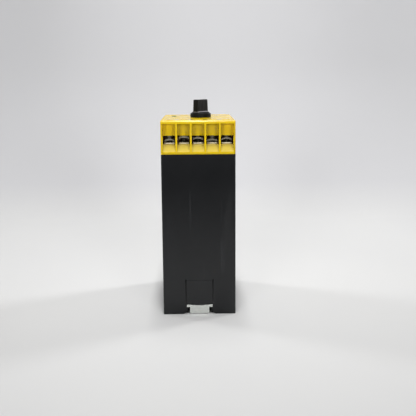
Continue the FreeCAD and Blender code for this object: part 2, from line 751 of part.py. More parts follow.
def pot_shaft():
    """The potentiometer's shaft, flat where the knob grips it."""
    round_part = rod(SHAFT_RADIUS, BOARD_TOP + POT_FLOOR, KNOB_BASE, KNOB_X, KNOB_Y)
    return joined(round_part, [shaft_section(SHAFT_RADIUS, SHAFT_FLAT, KNOB_BASE, SHAFT_TOP)])


def potentiometer():
    """Potentiometer case with its bush, standing on the terminal board."""
    half = POT_SIZE / 2
    case = block(KNOB_X - half, KNOB_X + half, KNOB_Y - half, KNOB_Y + half, BOARD_TOP, POT_TOP)
    bush = rod(POT_BUSH_RADIUS, POT_TOP, BUSH_TOP, KNOB_X, KNOB_Y)
    bore = rod(
        SHAFT_RADIUS + SHAFT_RUNNING_GAP, BOARD_TOP + POT_FLOOR, BUSH_TOP, KNOB_X, KNOB_Y
    )
    return joined(case, [bush]).cut(bore)


def status_lamp():
    """Small lamp with a bevelled lens, its flange under the front plate."""
    top = COVER_TOP + LAMP_RISE
    outline = [
        (0, LAMP_SEAT),
        (LAMP_FLANGE_RADIUS, LAMP_SEAT),
        (LAMP_FLANGE_RADIUS, PLATE_UNDERSIDE),
        (LAMP_RADIUS, PLATE_UNDERSIDE),
        (LAMP_RADIUS, top - LAMP_BEVEL),
        (LAMP_RADIUS - LAMP_BEVEL, top),
        (0, top),
    ]
    return turned(outline, LAMP_X, LAMP_Y)


def lamp_spacer():
    """Square tube that carries the lamp over the terminal board."""
    half = SPACER_SIZE / 2
    bore = SPACER_BORE / 2
    tube = block(LAMP_X - half, LAMP_X + half, LAMP_Y - half, LAMP_Y + half, BOARD_TOP, LAMP_SEAT)
    return tube.cut(block(LAMP_X - bore, LAMP_X + bore, LAMP_Y - bore, LAMP_Y + bore, BOARD_TOP, LAMP_SEAT))


def terminal_board():
    """Board under the cover that takes the legs of all contact plates."""
    board = block(-BOARD_HALF_X, BOARD_HALF_X, -BOARD_HALF_Y, BOARD_HALF_Y, BOARD_BOTTOM, BOARD_TOP)
    end = CONTACT_END - HALF_DEPTH
    holes = []
    for centre in CELL_CENTRES:
        half = LEG_WIDTH / 2 + FIT_GAP
        holes.append(
            block(
                centre - half, centre + half, end - LEG_THICKNESS - FIT_GAP, end + FIT_GAP,
                BOARD_BOTTOM - OVERSHOOT, BOARD_TOP + OVERSHOOT,
            )
        )
    return board.cut(on_both_sides(holes))


def main_board():
    """Upright board in the housing's card guides, narrower where it passes the spigot."""
    low = MAIN_BOARD_HALF_Y
    high = BOARD_HALF_Y
    step = MAIN_BOARD_STEP
    outline = [
        (-low, FLOOR), (low, FLOOR), (low, step), (high, step),
        (high, BOARD_BOTTOM), (-high, BOARD_BOTTOM), (-high, step), (-low, step),
    ]
    return prism_x(outline, MAIN_BOARD_X, MAIN_BOARD_FACE)


def board_header():
    """Pin strip in the corner between the two boards."""
    return block(
        MAIN_BOARD_FACE,
        MAIN_BOARD_FACE + HEADER_SIZE,
        -HEADER_LENGTH / 2,
        HEADER_LENGTH / 2,
        BOARD_BOTTOM - HEADER_SIZE,
        BOARD_BOTTOM,
    )


def on_main_board(size, place):
    """A case that stands on the main board: size out of the board, along Y and along Z."""
    height, length, width = size
    y, z = place[0], FLOOR + place[1]
    return block(
        MAIN_BOARD_FACE,
        MAIN_BOARD_FACE + height,
        y - length / 2,
        y + length / 2,
        z - width / 2,
        z + width / 2,
    )


def relay(place):
    """Sealed relay case."""
    return on_main_board(RELAY_SIZE, place)


def storage_capacitor():
    """Round electrolytic can standing on the main board."""
    start = Vector(MAIN_BOARD_FACE, CAPACITOR_PLACE[0], FLOOR + CAPACITOR_PLACE[1])
    return Part.makeCylinder(CAPACITOR_RADIUS, CAPACITOR_LENGTH, start, ALONG_X)


def film_capacitor():
    """Timing capacitor in a plain case."""
    return on_main_board(FILM_CAPACITOR_SIZE, FILM_CAPACITOR_PLACE)


def timer_chip():
    """Timer circuit in a long package with a notch at one end."""
    body = on_main_board(CHIP_SIZE, CHIP_PLACE)
    face = MAIN_BOARD_FACE + CHIP_SIZE[0]
    end = FLOOR + CHIP_PLACE[1] + CHIP_SIZE[2] / 2
    start = Vector(face - CHIP_NOTCH, CHIP_PLACE[0], end)
    return body.cut(Part.makeCylinder(CHIP_NOTCH, CHIP_NOTCH, start, ALONG_X))


def chip_row(size, count, place):
    """Block-shaped chips on the main board, one over the other."""
    heights = [place[1] + (i - (count - 1) / 2) * ROW_PITCH for i in range(count)]
    return Part.makeCompound([on_main_board(size, (place[0], height)) for height in heights])


def terminals():
    """Contact plate, clamp plate and screw of every cell, by node name."""
    nodes = {}
    sides = (("a", LIFTS_FIRST_SIDE, Part.Shape.copy), ("b", LIFTS_SECOND_SIDE, opposite))
    for letter, lifts, placed in sides:
        for number, (centre, lift) in enumerate(zip(CELL_CENTRES, lifts), 1):
            name = f"{letter}{number}"
            nodes[f"contact_plate_{name}"] = placed(contact_plate(centre))
            nodes[f"clamp_plate_{name}"] = placed(clamp_plate(centre, lift))
            nodes[f"terminal_screw_{name}"] = placed(terminal_screw(centre, lift))
    return nodes


def module():
    """Every piece of the module by node name."""
    nodes = {
        "housing": housing(),
        "front_cover": front_cover(),
        "rail_latch": rail_latch(),
        "latch_spring": latch_spring(),
        "knob": knob(),
        "pot_shaft": pot_shaft(),
        "potentiometer": potentiometer(),
        "status_lamp": status_lamp(),
        "lamp_spacer": lamp_spacer(),
        "terminal_board": terminal_board(),
        "main_board": main_board(),
        "board_header": board_header(),
        "storage_capacitor": storage_capacitor(),
        "film_capacitor": film_capacitor(),
        "timer_chip": timer_chip(),
        "resistors": chip_row(RESISTOR_SIZE, RESISTOR_COUNT, RESISTOR_PLACE),
        "diodes": chip_row(DIODE_SIZE, DIODE_COUNT, DIODE_PLACE),
    }
    for number, place in enumerate(RELAY_PLACES, 1):
        nodes[f"relay_{number}"] = relay(place)
    nodes.update(terminals())
    return nodes


os.makedirs("parts", exist_ok=True)
for node, shape in module().items():
    shape.exportStep(f"parts/{node}.step")
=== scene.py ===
"""Looks of the time delay module: finer pieces, finishes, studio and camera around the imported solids.

Sizes are in millimetres unless a name says otherwise. Meshes are made in metres, in the part's own frame:
X along the rail, Y from the shown wire side to the other one, Z from the rail to the front plate.
"""
import logging
import math
from dataclasses import dataclass, field
from enum import Enum
from typing import Optional, Sequence

import bmesh
import bpy
from mathutils import Matrix, Vector


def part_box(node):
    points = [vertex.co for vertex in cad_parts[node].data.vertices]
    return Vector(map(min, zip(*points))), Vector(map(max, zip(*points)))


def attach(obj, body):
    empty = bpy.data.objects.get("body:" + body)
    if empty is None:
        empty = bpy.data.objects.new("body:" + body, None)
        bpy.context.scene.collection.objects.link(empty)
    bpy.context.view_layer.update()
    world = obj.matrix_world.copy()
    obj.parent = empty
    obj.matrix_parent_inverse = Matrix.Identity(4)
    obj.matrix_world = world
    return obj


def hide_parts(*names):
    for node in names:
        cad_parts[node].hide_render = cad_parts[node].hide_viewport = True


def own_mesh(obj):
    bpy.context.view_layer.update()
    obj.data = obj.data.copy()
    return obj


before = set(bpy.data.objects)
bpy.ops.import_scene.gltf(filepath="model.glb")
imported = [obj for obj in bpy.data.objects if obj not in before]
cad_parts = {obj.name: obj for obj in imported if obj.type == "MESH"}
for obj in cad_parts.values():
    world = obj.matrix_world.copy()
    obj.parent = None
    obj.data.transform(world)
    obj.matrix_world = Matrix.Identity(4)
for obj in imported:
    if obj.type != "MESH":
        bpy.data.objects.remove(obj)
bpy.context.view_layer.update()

MM = 0.001
FULL_TURN = 2 * math.pi
HALF_TURN_DEG = 180.0

# Points closer than WELD, in metres, are one point, and faces that bend less than FLAT_DEG are one face.
WELD = 1e-6
FLAT_DEG = 0.5
# An edge is rounded where the edges beside it are at least ROOM radii long.
ROOM = 2.2
# A cutting shape reaches CUT_SPARE past what it cuts.
CUT_SPARE = 1.0
# Faces across a small rounding, across a wide one, and round a small turned piece.
EDGE_STEPS = 2
RIM_STEPS = 4
ROUND_SEGMENTS = 48

# Weights that give nearly every place a number of its own, for putting faces in order.
ORDER = Vector((1.0, math.pi, math.e**3))

# What more than one sub-assembly goes by: the terminals' number, the front plate's height, and the knob's
# axis and direction.
TERMINALS_PER_SIDE = 5
FACE_LEVEL = 120.3
KNOB_AXIS = (1.95, 0.0)
KNOB_POINTS_DEG = 231.0

Rgb = tuple[float, float, float]
Point = tuple[float, float, float]
Pair = tuple[float, float]
Outline = Sequence[Pair]
Socket = bpy.types.NodeSocket
Material = bpy.types.Material
Piece = bpy.types.Object
Shape = bmesh.types.BMesh
Edge = bmesh.types.BMEdge

log = logging.getLogger("time_delay_module")


class Body(Enum):
    """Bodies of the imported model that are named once."""

    MODULE = "module"
    KNOB = "knob"
    LATCH = "latch"


class WireSide(Enum):
    """The two sides that wires come in from."""

    FIRST = "a"
    SECOND = "b"


class Axis(Enum):
    """The axes of the part's frame."""

    X = 0
    Y = 1
    Z = 2


class Crease(Enum):
    """Bend in degrees over which an edge of a piece stays crisp."""

    PLAIN = 28.0
    TURNED = 35.0
    ROUNDED = 40.0
    DOMED = 50.0
    SMOOTH = 60.0


class Joining(Enum):
    """How two closed shapes are put together."""

    ADD = "UNION"
    CUT = "DIFFERENCE"


class Sum(Enum):
    """What a Math node does with its values."""

    ADD = "ADD"
    TIMES = "MULTIPLY"
    LARGER = "MAXIMUM"
    SIZE = "ABSOLUTE"


class MixKind(Enum):
    """What a Mix node blends: its data type, the numbers of its two inputs and of its output."""

    NUMBER = ("FLOAT", (2, 3), 0)
    COLOUR = ("RGBA", (6, 7), 2)


class Slot(Enum):
    """Material slots of the record."""

    HOUSING = "housing_black"
    COVER = "cover_yellow"
    LATCH = "latch_zinc"
    SPRING = "spring_steel"
    KNOB = "knob_black"
    SHAFT = "shaft_steel"
    POT = "pot_blue"
    LAMP = "lamp_green"
    SPACER = "spacer_white"
    BOARD = "board_green"
    CHIP = "chip_black"
    CAN = "can_sleeve"
    FILM = "film_red"
    RESISTOR = "resistor_beige"
    RELAY = "relay_grey"
    CONTACT = "contact_tin"
    CLAMP = "clamp_steel"
    SCREW = "screw_steel"


def linear(red: int, green: int, blue: int) -> Rgb:
    """Turns a colour as a screen shows it, 0 to 255, into shader values.

    Args:
        red: Red of the screen colour.
        green: Green of the screen colour.
        blue: Blue of the screen colour.

    Returns:
        The three linear values.
    """

    def channel(value: int) -> float:
        """Linear value of one channel, by the sRGB curve."""
        share = value / 255
        return share / 12.92 if share <= 0.04045 else ((share + 0.055) / 1.055) ** 2.4

    return channel(red), channel(green), channel(blue)


# Worn edges: how many looks each takes, and how far the rounded normal leans at no wear and at full wear.
EDGE_SAMPLES = 4
EDGE_BAND = (0.99, 0.85)


class Graph:
    """A material's node graph, with short calls for the nodes that the finishes share."""

    def __init__(self, name: str) -> None:
        """Starts a material that has a shader and an output.

        Args:
            name: Name of the material.
        """
        self.material: Material = bpy.data.materials.new(name)
        self.material.use_nodes = True
        self.tree = self.material.node_tree
        self.tree.nodes.clear()
        self.shader = self.node("ShaderNodeBsdfPrincipled")
        self.output = self.node("ShaderNodeOutputMaterial")
        self.link(self.shader.outputs["BSDF"], self.output.inputs["Surface"])
        self.place = self.node("ShaderNodeTexCoord").outputs["Object"]

    def node(self, kind: str) -> bpy.types.Node:
        """Adds a node of that kind."""
        return self.tree.nodes.new(kind)

    def link(self, source: Socket, target: Socket) -> None:
        """Joins two sockets."""
        self.tree.links.new(source, target)

    def feed(self, target: Socket, value: Rgb | float | Socket) -> None:
        """Sets a socket to a colour or a number, or joins another socket to it.

        Args:
            target: The socket.
            value: A colour, a number or a socket.
        """
        if isinstance(value, tuple):
            target.default_value = (*value, 1.0)
        elif isinstance(value, float):
            target.default_value = value
        else:
            self.link(value, target)

    def fixed(self, **values: float) -> None:
        """Sets shader sockets that are the same all over the surface.

        Args:
            values: Values by socket name, with underscores for spaces.
        """
        for name, value in values.items():
            self.feed(self.shader.inputs[name.replace("_", " ")], value)

    def along(self, axis: Axis) -> Socket:
        """The surface's place along one axis.

        Args:
            axis: The axis.

        Returns:
            The place, in metres.
        """
        parts = self.node("ShaderNodeSeparateXYZ")
        self.link(self.place, parts.inputs[0])
        return parts.outputs[axis.value]

    def distance(self, axis: Axis) -> Socket:
        """How far the surface's place is from the middle along one axis."""
        return self.maths(Sum.SIZE, self.along(axis), 0.0)

    def shown_as(self, colour: Rgb, seen: Socket, mirrored: Socket) -> None:
        """Shows a plain colour to the camera and in shiny or clear surfaces, with no light from it.

        Args:
            colour: The colour.
            seen: Share of it where the camera looks at the surface.
            mirrored: Share of it in shiny or clear surfaces.
        """
        self.material.cycles.emission_sampling = "NONE"
        plain = self.node("ShaderNodeEmission")
        self.feed(plain.inputs["Color"], colour)
        blend = self.node("ShaderNodeMixShader")
        path = self.node("ShaderNodeLightPath")
        share = self.maths(Sum.TIMES, seen, path.outputs["Is Camera Ray"])
        for kind in ("Is Glossy Ray", "Is Transmission Ray"):
            share = self.maths(Sum.LARGER, share, self.maths(Sum.TIMES, mirrored, path.outputs[kind]))
        self.link(share, blend.inputs[0])
        self.link(self.shader.outputs["BSDF"], blend.inputs[1])
        self.link(plain.outputs[0], blend.inputs[2])
        self.link(blend.outputs[0], self.output.inputs["Surface"])

    def stretched(self, scale: Point) -> Socket:
        """The surface's place, stretched along each axis.

        Args:
            scale: Factor along each axis.

        Returns:
            The stretched place.
        """
        mapping = self.node("ShaderNodeMapping")
        mapping.inputs["Scale"].default_value = scale
        self.link(self.place, mapping.inputs["Vector"])
        return mapping.outputs["Vector"]

    def noise(self, size: float, detail: float = 2.0, place: Optional[Socket] = None) -> Socket:
        """Soft noise over the surface.

        Args:
            size: Size of its spots in millimetres.
            detail: Number of finer layers.
            place: Stretched place to use instead of the plain one.

        Returns:
            A value from 0 to 1.
        """
        noise = self.node("ShaderNodeTexNoise")
        noise.inputs["Scale"].default_value = 1 / (size * MM)
        noise.inputs["Detail"].default_value = detail
        self.link(place or self.place, noise.inputs["Vector"])
        return noise.outputs["Fac"]

    def remap(self, value: Socket, band: Pair, result: Pair = (0.0, 1.0)) -> Socket:
        """Stretches a value from one range to another and stops it at both ends.

        Args:
            value: The value to stretch.
            band: The two values between which it changes.
            result: What it becomes at them.

        Returns:
            The stretched value.
        """
        node = self.node("ShaderNodeMapRange")
        for name, number in zip(("From Min", "From Max", "To Min", "To Max"), (*band, *result)):
            node.inputs[name].default_value = number
        self.link(value, node.inputs["Value"])
        return node.outputs["Result"]

    def maths(self, kind: Sum, first: Socket, second: Socket | float) -> Socket:
        """One step of maths on two values.

        Args:
            kind: What is done.
            first: The first value.
            second: The second value, or a number.

        Returns:
            The result.
        """
        node = self.node("ShaderNodeMath")
        node.operation = kind.value
        self.link(first, node.inputs[0])
        self.feed(node.inputs[1], second)
        return node.outputs[0]

    def mix(
        self, share: Socket, first: Rgb | Socket,
        second: Rgb | float | Socket, kind: MixKind = MixKind.COLOUR,
    ) -> Socket:
        """Blends two colours or two numbers.

        Args:
            share: Share of the second one.
            first: A colour or a socket.
            second: A colour, a number or a socket.
            kind: What is blended.

        Returns:
            The blend.
        """
        data_type, inputs, result = kind.value
        node = self.node("ShaderNodeMix")
        node.data_type = data_type
        self.link(share, node.inputs[0])
        for number, value in zip(inputs, (first, second)):
            self.feed(node.inputs[number], value)
        return node.outputs[result]

    def bump(self, height: Socket, depth: float, under: Optional[Socket] = None) -> Socket:
        """Turns a height into a bumped normal.

        Args:
            height: Height from 0 to 1.
            depth: What height 1 is, in millimetres.
            under: A coarser bump that this one lies on.

        Returns:
            The normal.
        """
        node = self.node("ShaderNodeBump")
        node.inputs["Strength"].default_value = 1.0
        node.inputs["Distance"].default_value = depth * MM
        self.link(height, node.inputs["Height"])
        if under is not None:
            self.link(under, node.inputs["Normal"])
        return node.outputs["Normal"]

    def edges(self, radius: float) -> Socket:
        """Finds worn edges: 0 on flat ground, rising to 1 on an edge.

        Args:
            radius: How far from the edge it reaches, in millimetres.

        Returns:
            The share of wear.
        """
        bevel = self.node("ShaderNodeBevel")
        bevel.samples = EDGE_SAMPLES
        bevel.inputs["Radius"].default_value = radius * MM
        turn = self.node("ShaderNodeVectorMath")
        turn.operation = "DOT_PRODUCT"
        self.link(bevel.outputs["Normal"], turn.inputs[0])
        self.link(self.node("ShaderNodeNewGeometry").outputs["Normal"], turn.inputs[1])
        return self.remap(turn.outputs["Value"], EDGE_BAND)

    def paint(self, name: str, source: Socket) -> None:
        """Feeds one of the shader's sockets."""
        self.link(source, self.shader.inputs[name])


# Bands of a noise's values: nearly all of them, the middle ones, and those of two noises added up.
WHOLE = (0.3, 0.7)
MIDDLE = (0.35, 0.65)
ADDED = (0.6, 1.4)
# Finer layers in the noise of soft patches.
PATCH_DETAIL = 3.0


class Finish:
    """Anything that can make a material."""

    def lay(self, graph: Graph) -> None:
        """Fills in a new material's graph."""
        raise NotImplementedError

    def material(self, name: str) -> Material:
        """Makes the material.

        Args:
            name: Name of the material.

        Returns:
            The material.
        """
        graph = Graph(name)
        self.lay(graph)
        return graph.material


@dataclass(frozen=True)
class PolishZone:
    """Smoother strips in a moulding's upper face, one along each wire side.

    Attributes:
        half_width: How far a strip reaches from the middle along X.
        reach: Nearest and farthest distance of a strip from the middle along Y.
        level: Height of the face.
        roughness: Roughness of the strips.
        fade: Width of a strip's soft border.
        skin: Depths under the face between which a strip starts.
        grain_left: Share of the grain that is left on the strips.
    """

    half_width: float
    reach: Pair
    level: float
    roughness: float
    fade: float
    skin: Pair = (0.1, 0.05)
    grain_left: float = 0.15

    def share(self, graph: Graph) -> Socket:
        """Where the strips are.

        Args:
            graph: The material's graph.

        Returns:
            A value of 1 on the strips and 0 elsewhere.
        """
        across = graph.distance(Axis.Y)
        near, far = (edge * MM for edge in self.reach)
        half, fade, level = self.half_width * MM, self.fade * MM, self.level * MM
        deep, shallow = (level - depth * MM for depth in self.skin)
        share = graph.remap(graph.distance(Axis.X), (half, half - fade))
        for place, band in (
            (across, (near, near + fade)),
            (across, (far, far - fade)),
            (graph.distance(Axis.Z), (deep, shallow)),
        ):
            share = graph.maths(Sum.TIMES, share, graph.remap(place, band))
        return share

    def smoothed(self, graph: Graph, rough: Socket, grain: Socket) -> tuple[Socket, Socket]:
        """Lowers roughness and grain on the strips.

        Args:
            graph: The material's graph.
            rough: Roughness elsewhere.
            grain: Height of the grain elsewhere.

        Returns:
            Roughness and grain with the strips in them.
        """
        share = self.share(graph)
        left = graph.remap(share, (0.0, 1.0), (1.0, self.grain_left))
        return graph.mix(share, rough, self.roughness, MixKind.NUMBER), graph.maths(Sum.TIMES, grain, left)


@dataclass(frozen=True)
class Scuffs:
    """Faint upright rub marks.

    Attributes:
        colour: Colour of the marks.
        width: Width of a mark in millimetres.
        squeeze: How far the noise is squeezed along Z, which draws the marks out.
        patch: Size of the patches that they lie in, in millimetres.
        mark_band: Values of the drawn-out noise between which a mark starts.
        patch_band: Values of the patches' noise between which they start.
        cover: Share of their colour.
        dulling: Roughness that they add.
    """

    colour: Rgb
    width: float = 2.2
    squeeze: float = 0.03
    patch: float = 16.0
    mark_band: Pair = (0.55, 0.78)
    patch_band: Pair = (0.42, 0.66)
    cover: float = 0.6
    dulling: float = 0.12

    def rubbed(self, graph: Graph, tone: Socket, rough: Socket) -> tuple[Socket, Socket]:
        """Adds the marks.

        Args:
            graph: The material's graph.
            tone: Colour before the marks.
            rough: Roughness before the marks.

        Returns:
            Colour and roughness with the marks.
        """
        lines = graph.noise(self.width, place=graph.stretched((1.0, 1.0, self.squeeze)))
        patches = graph.remap(graph.noise(self.patch), self.patch_band)
        marks = graph.maths(Sum.TIMES, graph.remap(lines, self.mark_band), patches)
        duller = graph.maths(Sum.ADD, rough, graph.maths(Sum.TIMES, marks, self.dulling))
        return graph.mix(graph.maths(Sum.TIMES, marks, self.cover), tone, self.colour), duller


@dataclass(frozen=True)
class MouldedPlastic(Finish):
    """Moulded plastic: colour that wanders a little, fine grain and paler worn edges.

    Attributes:
        colour: Main colour.
        shade: Colour that it wanders to in soft patches.
        roughness: Lowest and highest roughness.
        grain: Size of the moulded grain in millimetres.
        grain_height: Height of the grain in millimetres.
        worn: Colour of worn edges, or None.
        wear: Share of the worn colour on the sharpest edges.
        scuffs: Rub marks, or None.
        specular: Strength of the surface's gloss.
        patch: Size of the soft patches in millimetres.
        polish: Smoother strips, or None.
        swell: Height of the soft patches, in heights of the grain.
        worn_reach: How far wear reaches from an edge, in millimetres.
        worn_patch: Size of the patches in the wear, in millimetres.
        worn_least: Share of the wear between those patches.
    """

    colour: Rgb
    shade: Rgb
    roughness: Pair = (0.38, 0.5)
    grain: float = 0.4
    grain_height: float = 0.012
    worn: Optional[Rgb] = None
    wear: float = 0.5
    scuffs: Optional[Scuffs] = None
    specular: float = 0.5
    patch: float = 18.0
    polish: Optional[PolishZone] = None
    swell: float = 2.0
    worn_reach: float = 0.35
    worn_patch: float = 1.6
    worn_least: float = 0.2

    def lay(self, graph: Graph) -> None:
        """Makes the plastic.

        Args:
            graph: The material's graph.
        """
        patches, grain = graph.noise(self.patch, PATCH_DETAIL), graph.noise(self.grain)
        tone = graph.mix(graph.remap(patches, WHOLE), self.colour, self.shade)
        rough = graph.remap(graph.maths(Sum.ADD, patches, grain), ADDED, self.roughness)
        if self.scuffs is not None:
            tone, rough = self.scuffs.rubbed(graph, tone, rough)
        if self.worn is not None:
            tone = graph.mix(self.edge_wear(graph), tone, self.worn)
        if self.polish is not None:
            rough, grain = self.polish.smoothed(graph, rough, grain)
        graph.paint("Base Color", tone)
        graph.paint("Roughness", rough)
        swells = graph.bump(patches, self.grain_height * self.swell)
        graph.paint("Normal", graph.bump(grain, self.grain_height, swells))
        graph.fixed(Specular_IOR_Level=self.specular)

    def edge_wear(self, graph: Graph) -> Socket:
        """Where the edges are worn.

        Args:
            graph: The material's graph.

        Returns:
            Share of the worn colour.
        """
        patches = graph.noise(self.worn_patch, PATCH_DETAIL)
        rubbed = graph.remap(patches, MIDDLE, (self.worn_least, 1.0))
        share = graph.maths(Sum.TIMES, graph.edges(self.worn_reach), rubbed)
        return graph.maths(Sum.TIMES, share, self.wear)


@dataclass(frozen=True)
class PlatedMetal(Finish):
    """Plated sheet, wire or turned metal with fine drawn lines.

    Attributes:
        colour: Main colour.
        stain: Colour of duller patches.
        roughness: Lowest and highest roughness.
        lines: The direction that the drawn lines run along.
        line_width: Spacing of the lines in millimetres.
        line_depth: Depth of the lines in millimetres.
        metal: How metallic the surface is.
        squeeze: How far the noise is squeezed along the lines, which draws them out.
        patch: Size of the duller patches in millimetres.
        stain_band: Values of patches and lines together between which the stain comes in.
        rough_band: Values of them between which the roughness changes.
    """

    colour: Rgb
    stain: Rgb
    roughness: Pair = (0.25, 0.4)
    lines: Axis = Axis.X
    line_width: float = 0.25
    line_depth: float = 0.006
    metal: float = 1.0
    squeeze: float = 0.03
    patch: float = 2.5
    stain_band: Pair = (0.75, 1.3)
    rough_band: Pair = (0.7, 1.3)

    def lay(self, graph: Graph) -> None:
        """Makes the metal.

        Args:
            graph: The material's graph.
        """
        stretch = [1.0, 1.0, 1.0]
        stretch[self.lines.value] = self.squeeze
        lines = graph.noise(self.line_width, place=graph.stretched(tuple(stretch)))
        both = graph.maths(Sum.ADD, graph.noise(self.patch, PATCH_DETAIL), lines)
        graph.paint("Base Color", graph.mix(graph.remap(both, self.stain_band), self.colour, self.stain))
        graph.paint("Roughness", graph.remap(both, self.rough_band, self.roughness))
        graph.paint("Normal", graph.bump(lines, self.line_depth))
        graph.fixed(Metallic=self.metal)


@dataclass(frozen=True)
class TintedLens(Finish):
    """Clear tinted plastic of an unlit lamp, with faint ripples and a cloudy heart.

    Attributes:
        colour: Tint of the lens.
        heart: Colour of its clouds.
        cloud: Size of the clouds in millimetres.
        roughness: Lowest and highest roughness.
        ripple: Size of the ripples in millimetres.
        ripple_height: Height of the ripples in millimetres.
        ripple_detail: Finer layers in the ripples.
        clearness: How much light passes through.
        coat: Strength of the outer gloss.
        coat_roughness: Roughness of that gloss.
        refraction: Index of refraction.
    """

    colour: Rgb
    heart: Rgb
    cloud: float = 0.8
    roughness: Pair = (0.1, 0.2)
    ripple: float = 0.3
    ripple_height: float = 0.003
    ripple_detail: float = 1.0
    clearness: float = 0.2
    coat: float = 0.12
    coat_roughness: float = 0.06
    refraction: float = 1.5

    def lay(self, graph: Graph) -> None:
        """Makes the lens.

        Args:
            graph: The material's graph.
        """
        cloud = graph.noise(self.cloud)
        graph.paint("Base Color", graph.mix(graph.remap(cloud, MIDDLE), self.colour, self.heart))
        graph.paint("Roughness", graph.remap(cloud, WHOLE, self.roughness))
        graph.paint("Normal", graph.bump(graph.noise(self.ripple, self.ripple_detail), self.ripple_height))
        graph.fixed(Transmission_Weight=self.clearness, IOR=self.refraction)
        graph.fixed(Coat_Weight=self.coat, Coat_Roughness=self.coat_roughness)


@dataclass(frozen=True)
class CircuitLaminate(Finish):
    """Glass-fibre board under solder mask, with its weave and paler tracks.

    Attributes:
        mask: Colour of the solder mask.
        track: Colour over the tracks.
        track_pitch: Spacing of the tracks in millimetres.
        track_band: Values of their pattern between which a track starts.
        track_height: Height of the tracks in millimetres.
        weave_pitch: Spacing of the weave in millimetres.
        weave_height: Height of the weave in millimetres.
        cloud: Size of the duller patches in millimetres.
        roughness: Lowest and highest roughness.
    """

    mask: Rgb
    track: Rgb
    track_pitch: float = 6.0
    track_band: Pair = (0.42, 0.46)
    track_height: float = 0.03
    weave_pitch: float = 2.4
    weave_height: float = 0.008
    cloud: float = 3.0
    roughness: Pair = (0.22, 0.36)

    def lay(self, graph: Graph) -> None:
        """Makes the laminate.

        Args:
            graph: The material's graph.
        """
        tracks, weave = graph.node("ShaderNodeTexVoronoi"), graph.node("ShaderNodeTexWave")
        tracks.distance = "MANHATTAN"
        for pattern, pitch in ((tracks, self.track_pitch), (weave, self.weave_pitch)):
            pattern.inputs["Scale"].default_value = 1 / (pitch * MM)
            graph.link(graph.place, pattern.inputs["Vector"])
        lines = graph.remap(tracks.outputs["Distance"], self.track_band)
        graph.paint("Base Color", graph.mix(lines, self.mask, self.track))
        graph.paint("Roughness", graph.remap(graph.noise(self.cloud), WHOLE, self.roughness))
        ground = graph.bump(lines, self.track_height)
        graph.paint("Normal", graph.bump(weave.outputs["Fac"], self.weave_height, ground))


@dataclass(frozen=True)
class StudioPaper(Finish):
    """Pale seamless paper of the floor and backdrop.

    Attributes:
        colour: Colour of the floor.
        shade: Colour that it wanders to.
        wall: Colour of the backdrop.
        climb: Heights between which the floor turns into the backdrop.
        beside: Distances to the side between which the unlit paper's own colour is blended in.
        above: The same up the backdrop.
        before: The same to the front, as the camera sees it.
        mirrored: The same to the front, as shiny surfaces show it.
        mottle: Size of the patches that it wanders in.
        fibre: Size of the duller patches.
        roughness: Lowest and highest roughness.
        specular: Strength of the surface's gloss.
    """

    colour: Rgb
    shade: Rgb
    wall: Rgb
    climb: Pair
    beside: Pair = (190.0, 420.0)
    above: Pair = (280.0, 460.0)
    before: Pair = (-220.0, -560.0)
    mirrored: Pair = (-900.0, -1500.0)
    mottle: float = 140.0
    fibre: float = 30.0
    roughness: Pair = (0.75, 0.9)
    specular: float = 0.2

    def unlit(self, graph: Graph, front: Pair) -> Socket:
        """Where the lamps don't reach, outside the photograph's frame.

        Args:
            graph: The material's graph.
            front: Places to the front between which it starts.

        Returns:
            A value of 0 in the frame, up to 1 far outside it.
        """
        share = graph.remap(graph.distance(Axis.X), (self.beside[0] * MM, self.beside[1] * MM))
        for axis, (near, far) in ((Axis.Y, front), (Axis.Z, self.above)):
            share = graph.maths(Sum.LARGER, share, graph.remap(graph.along(axis), (near * MM, far * MM)))
        return share

    def lay(self, graph: Graph) -> None:
        """Makes the paper.

        Args:
            graph: The material's graph.
        """
        floor = graph.mix(graph.noise(self.mottle), self.colour, self.shade)
        climb = graph.remap(graph.distance(Axis.Z), (self.climb[0] * MM, self.climb[1] * MM))
        graph.paint("Base Color", graph.mix(climb, floor, self.wall))
        graph.paint("Roughness", graph.remap(graph.noise(self.fibre), WHOLE, self.roughness))
        graph.fixed(Specular_IOR_Level=self.specular)
        graph.shown_as(self.wall, self.unlit(graph, self.before), self.unlit(graph, self.mirrored))


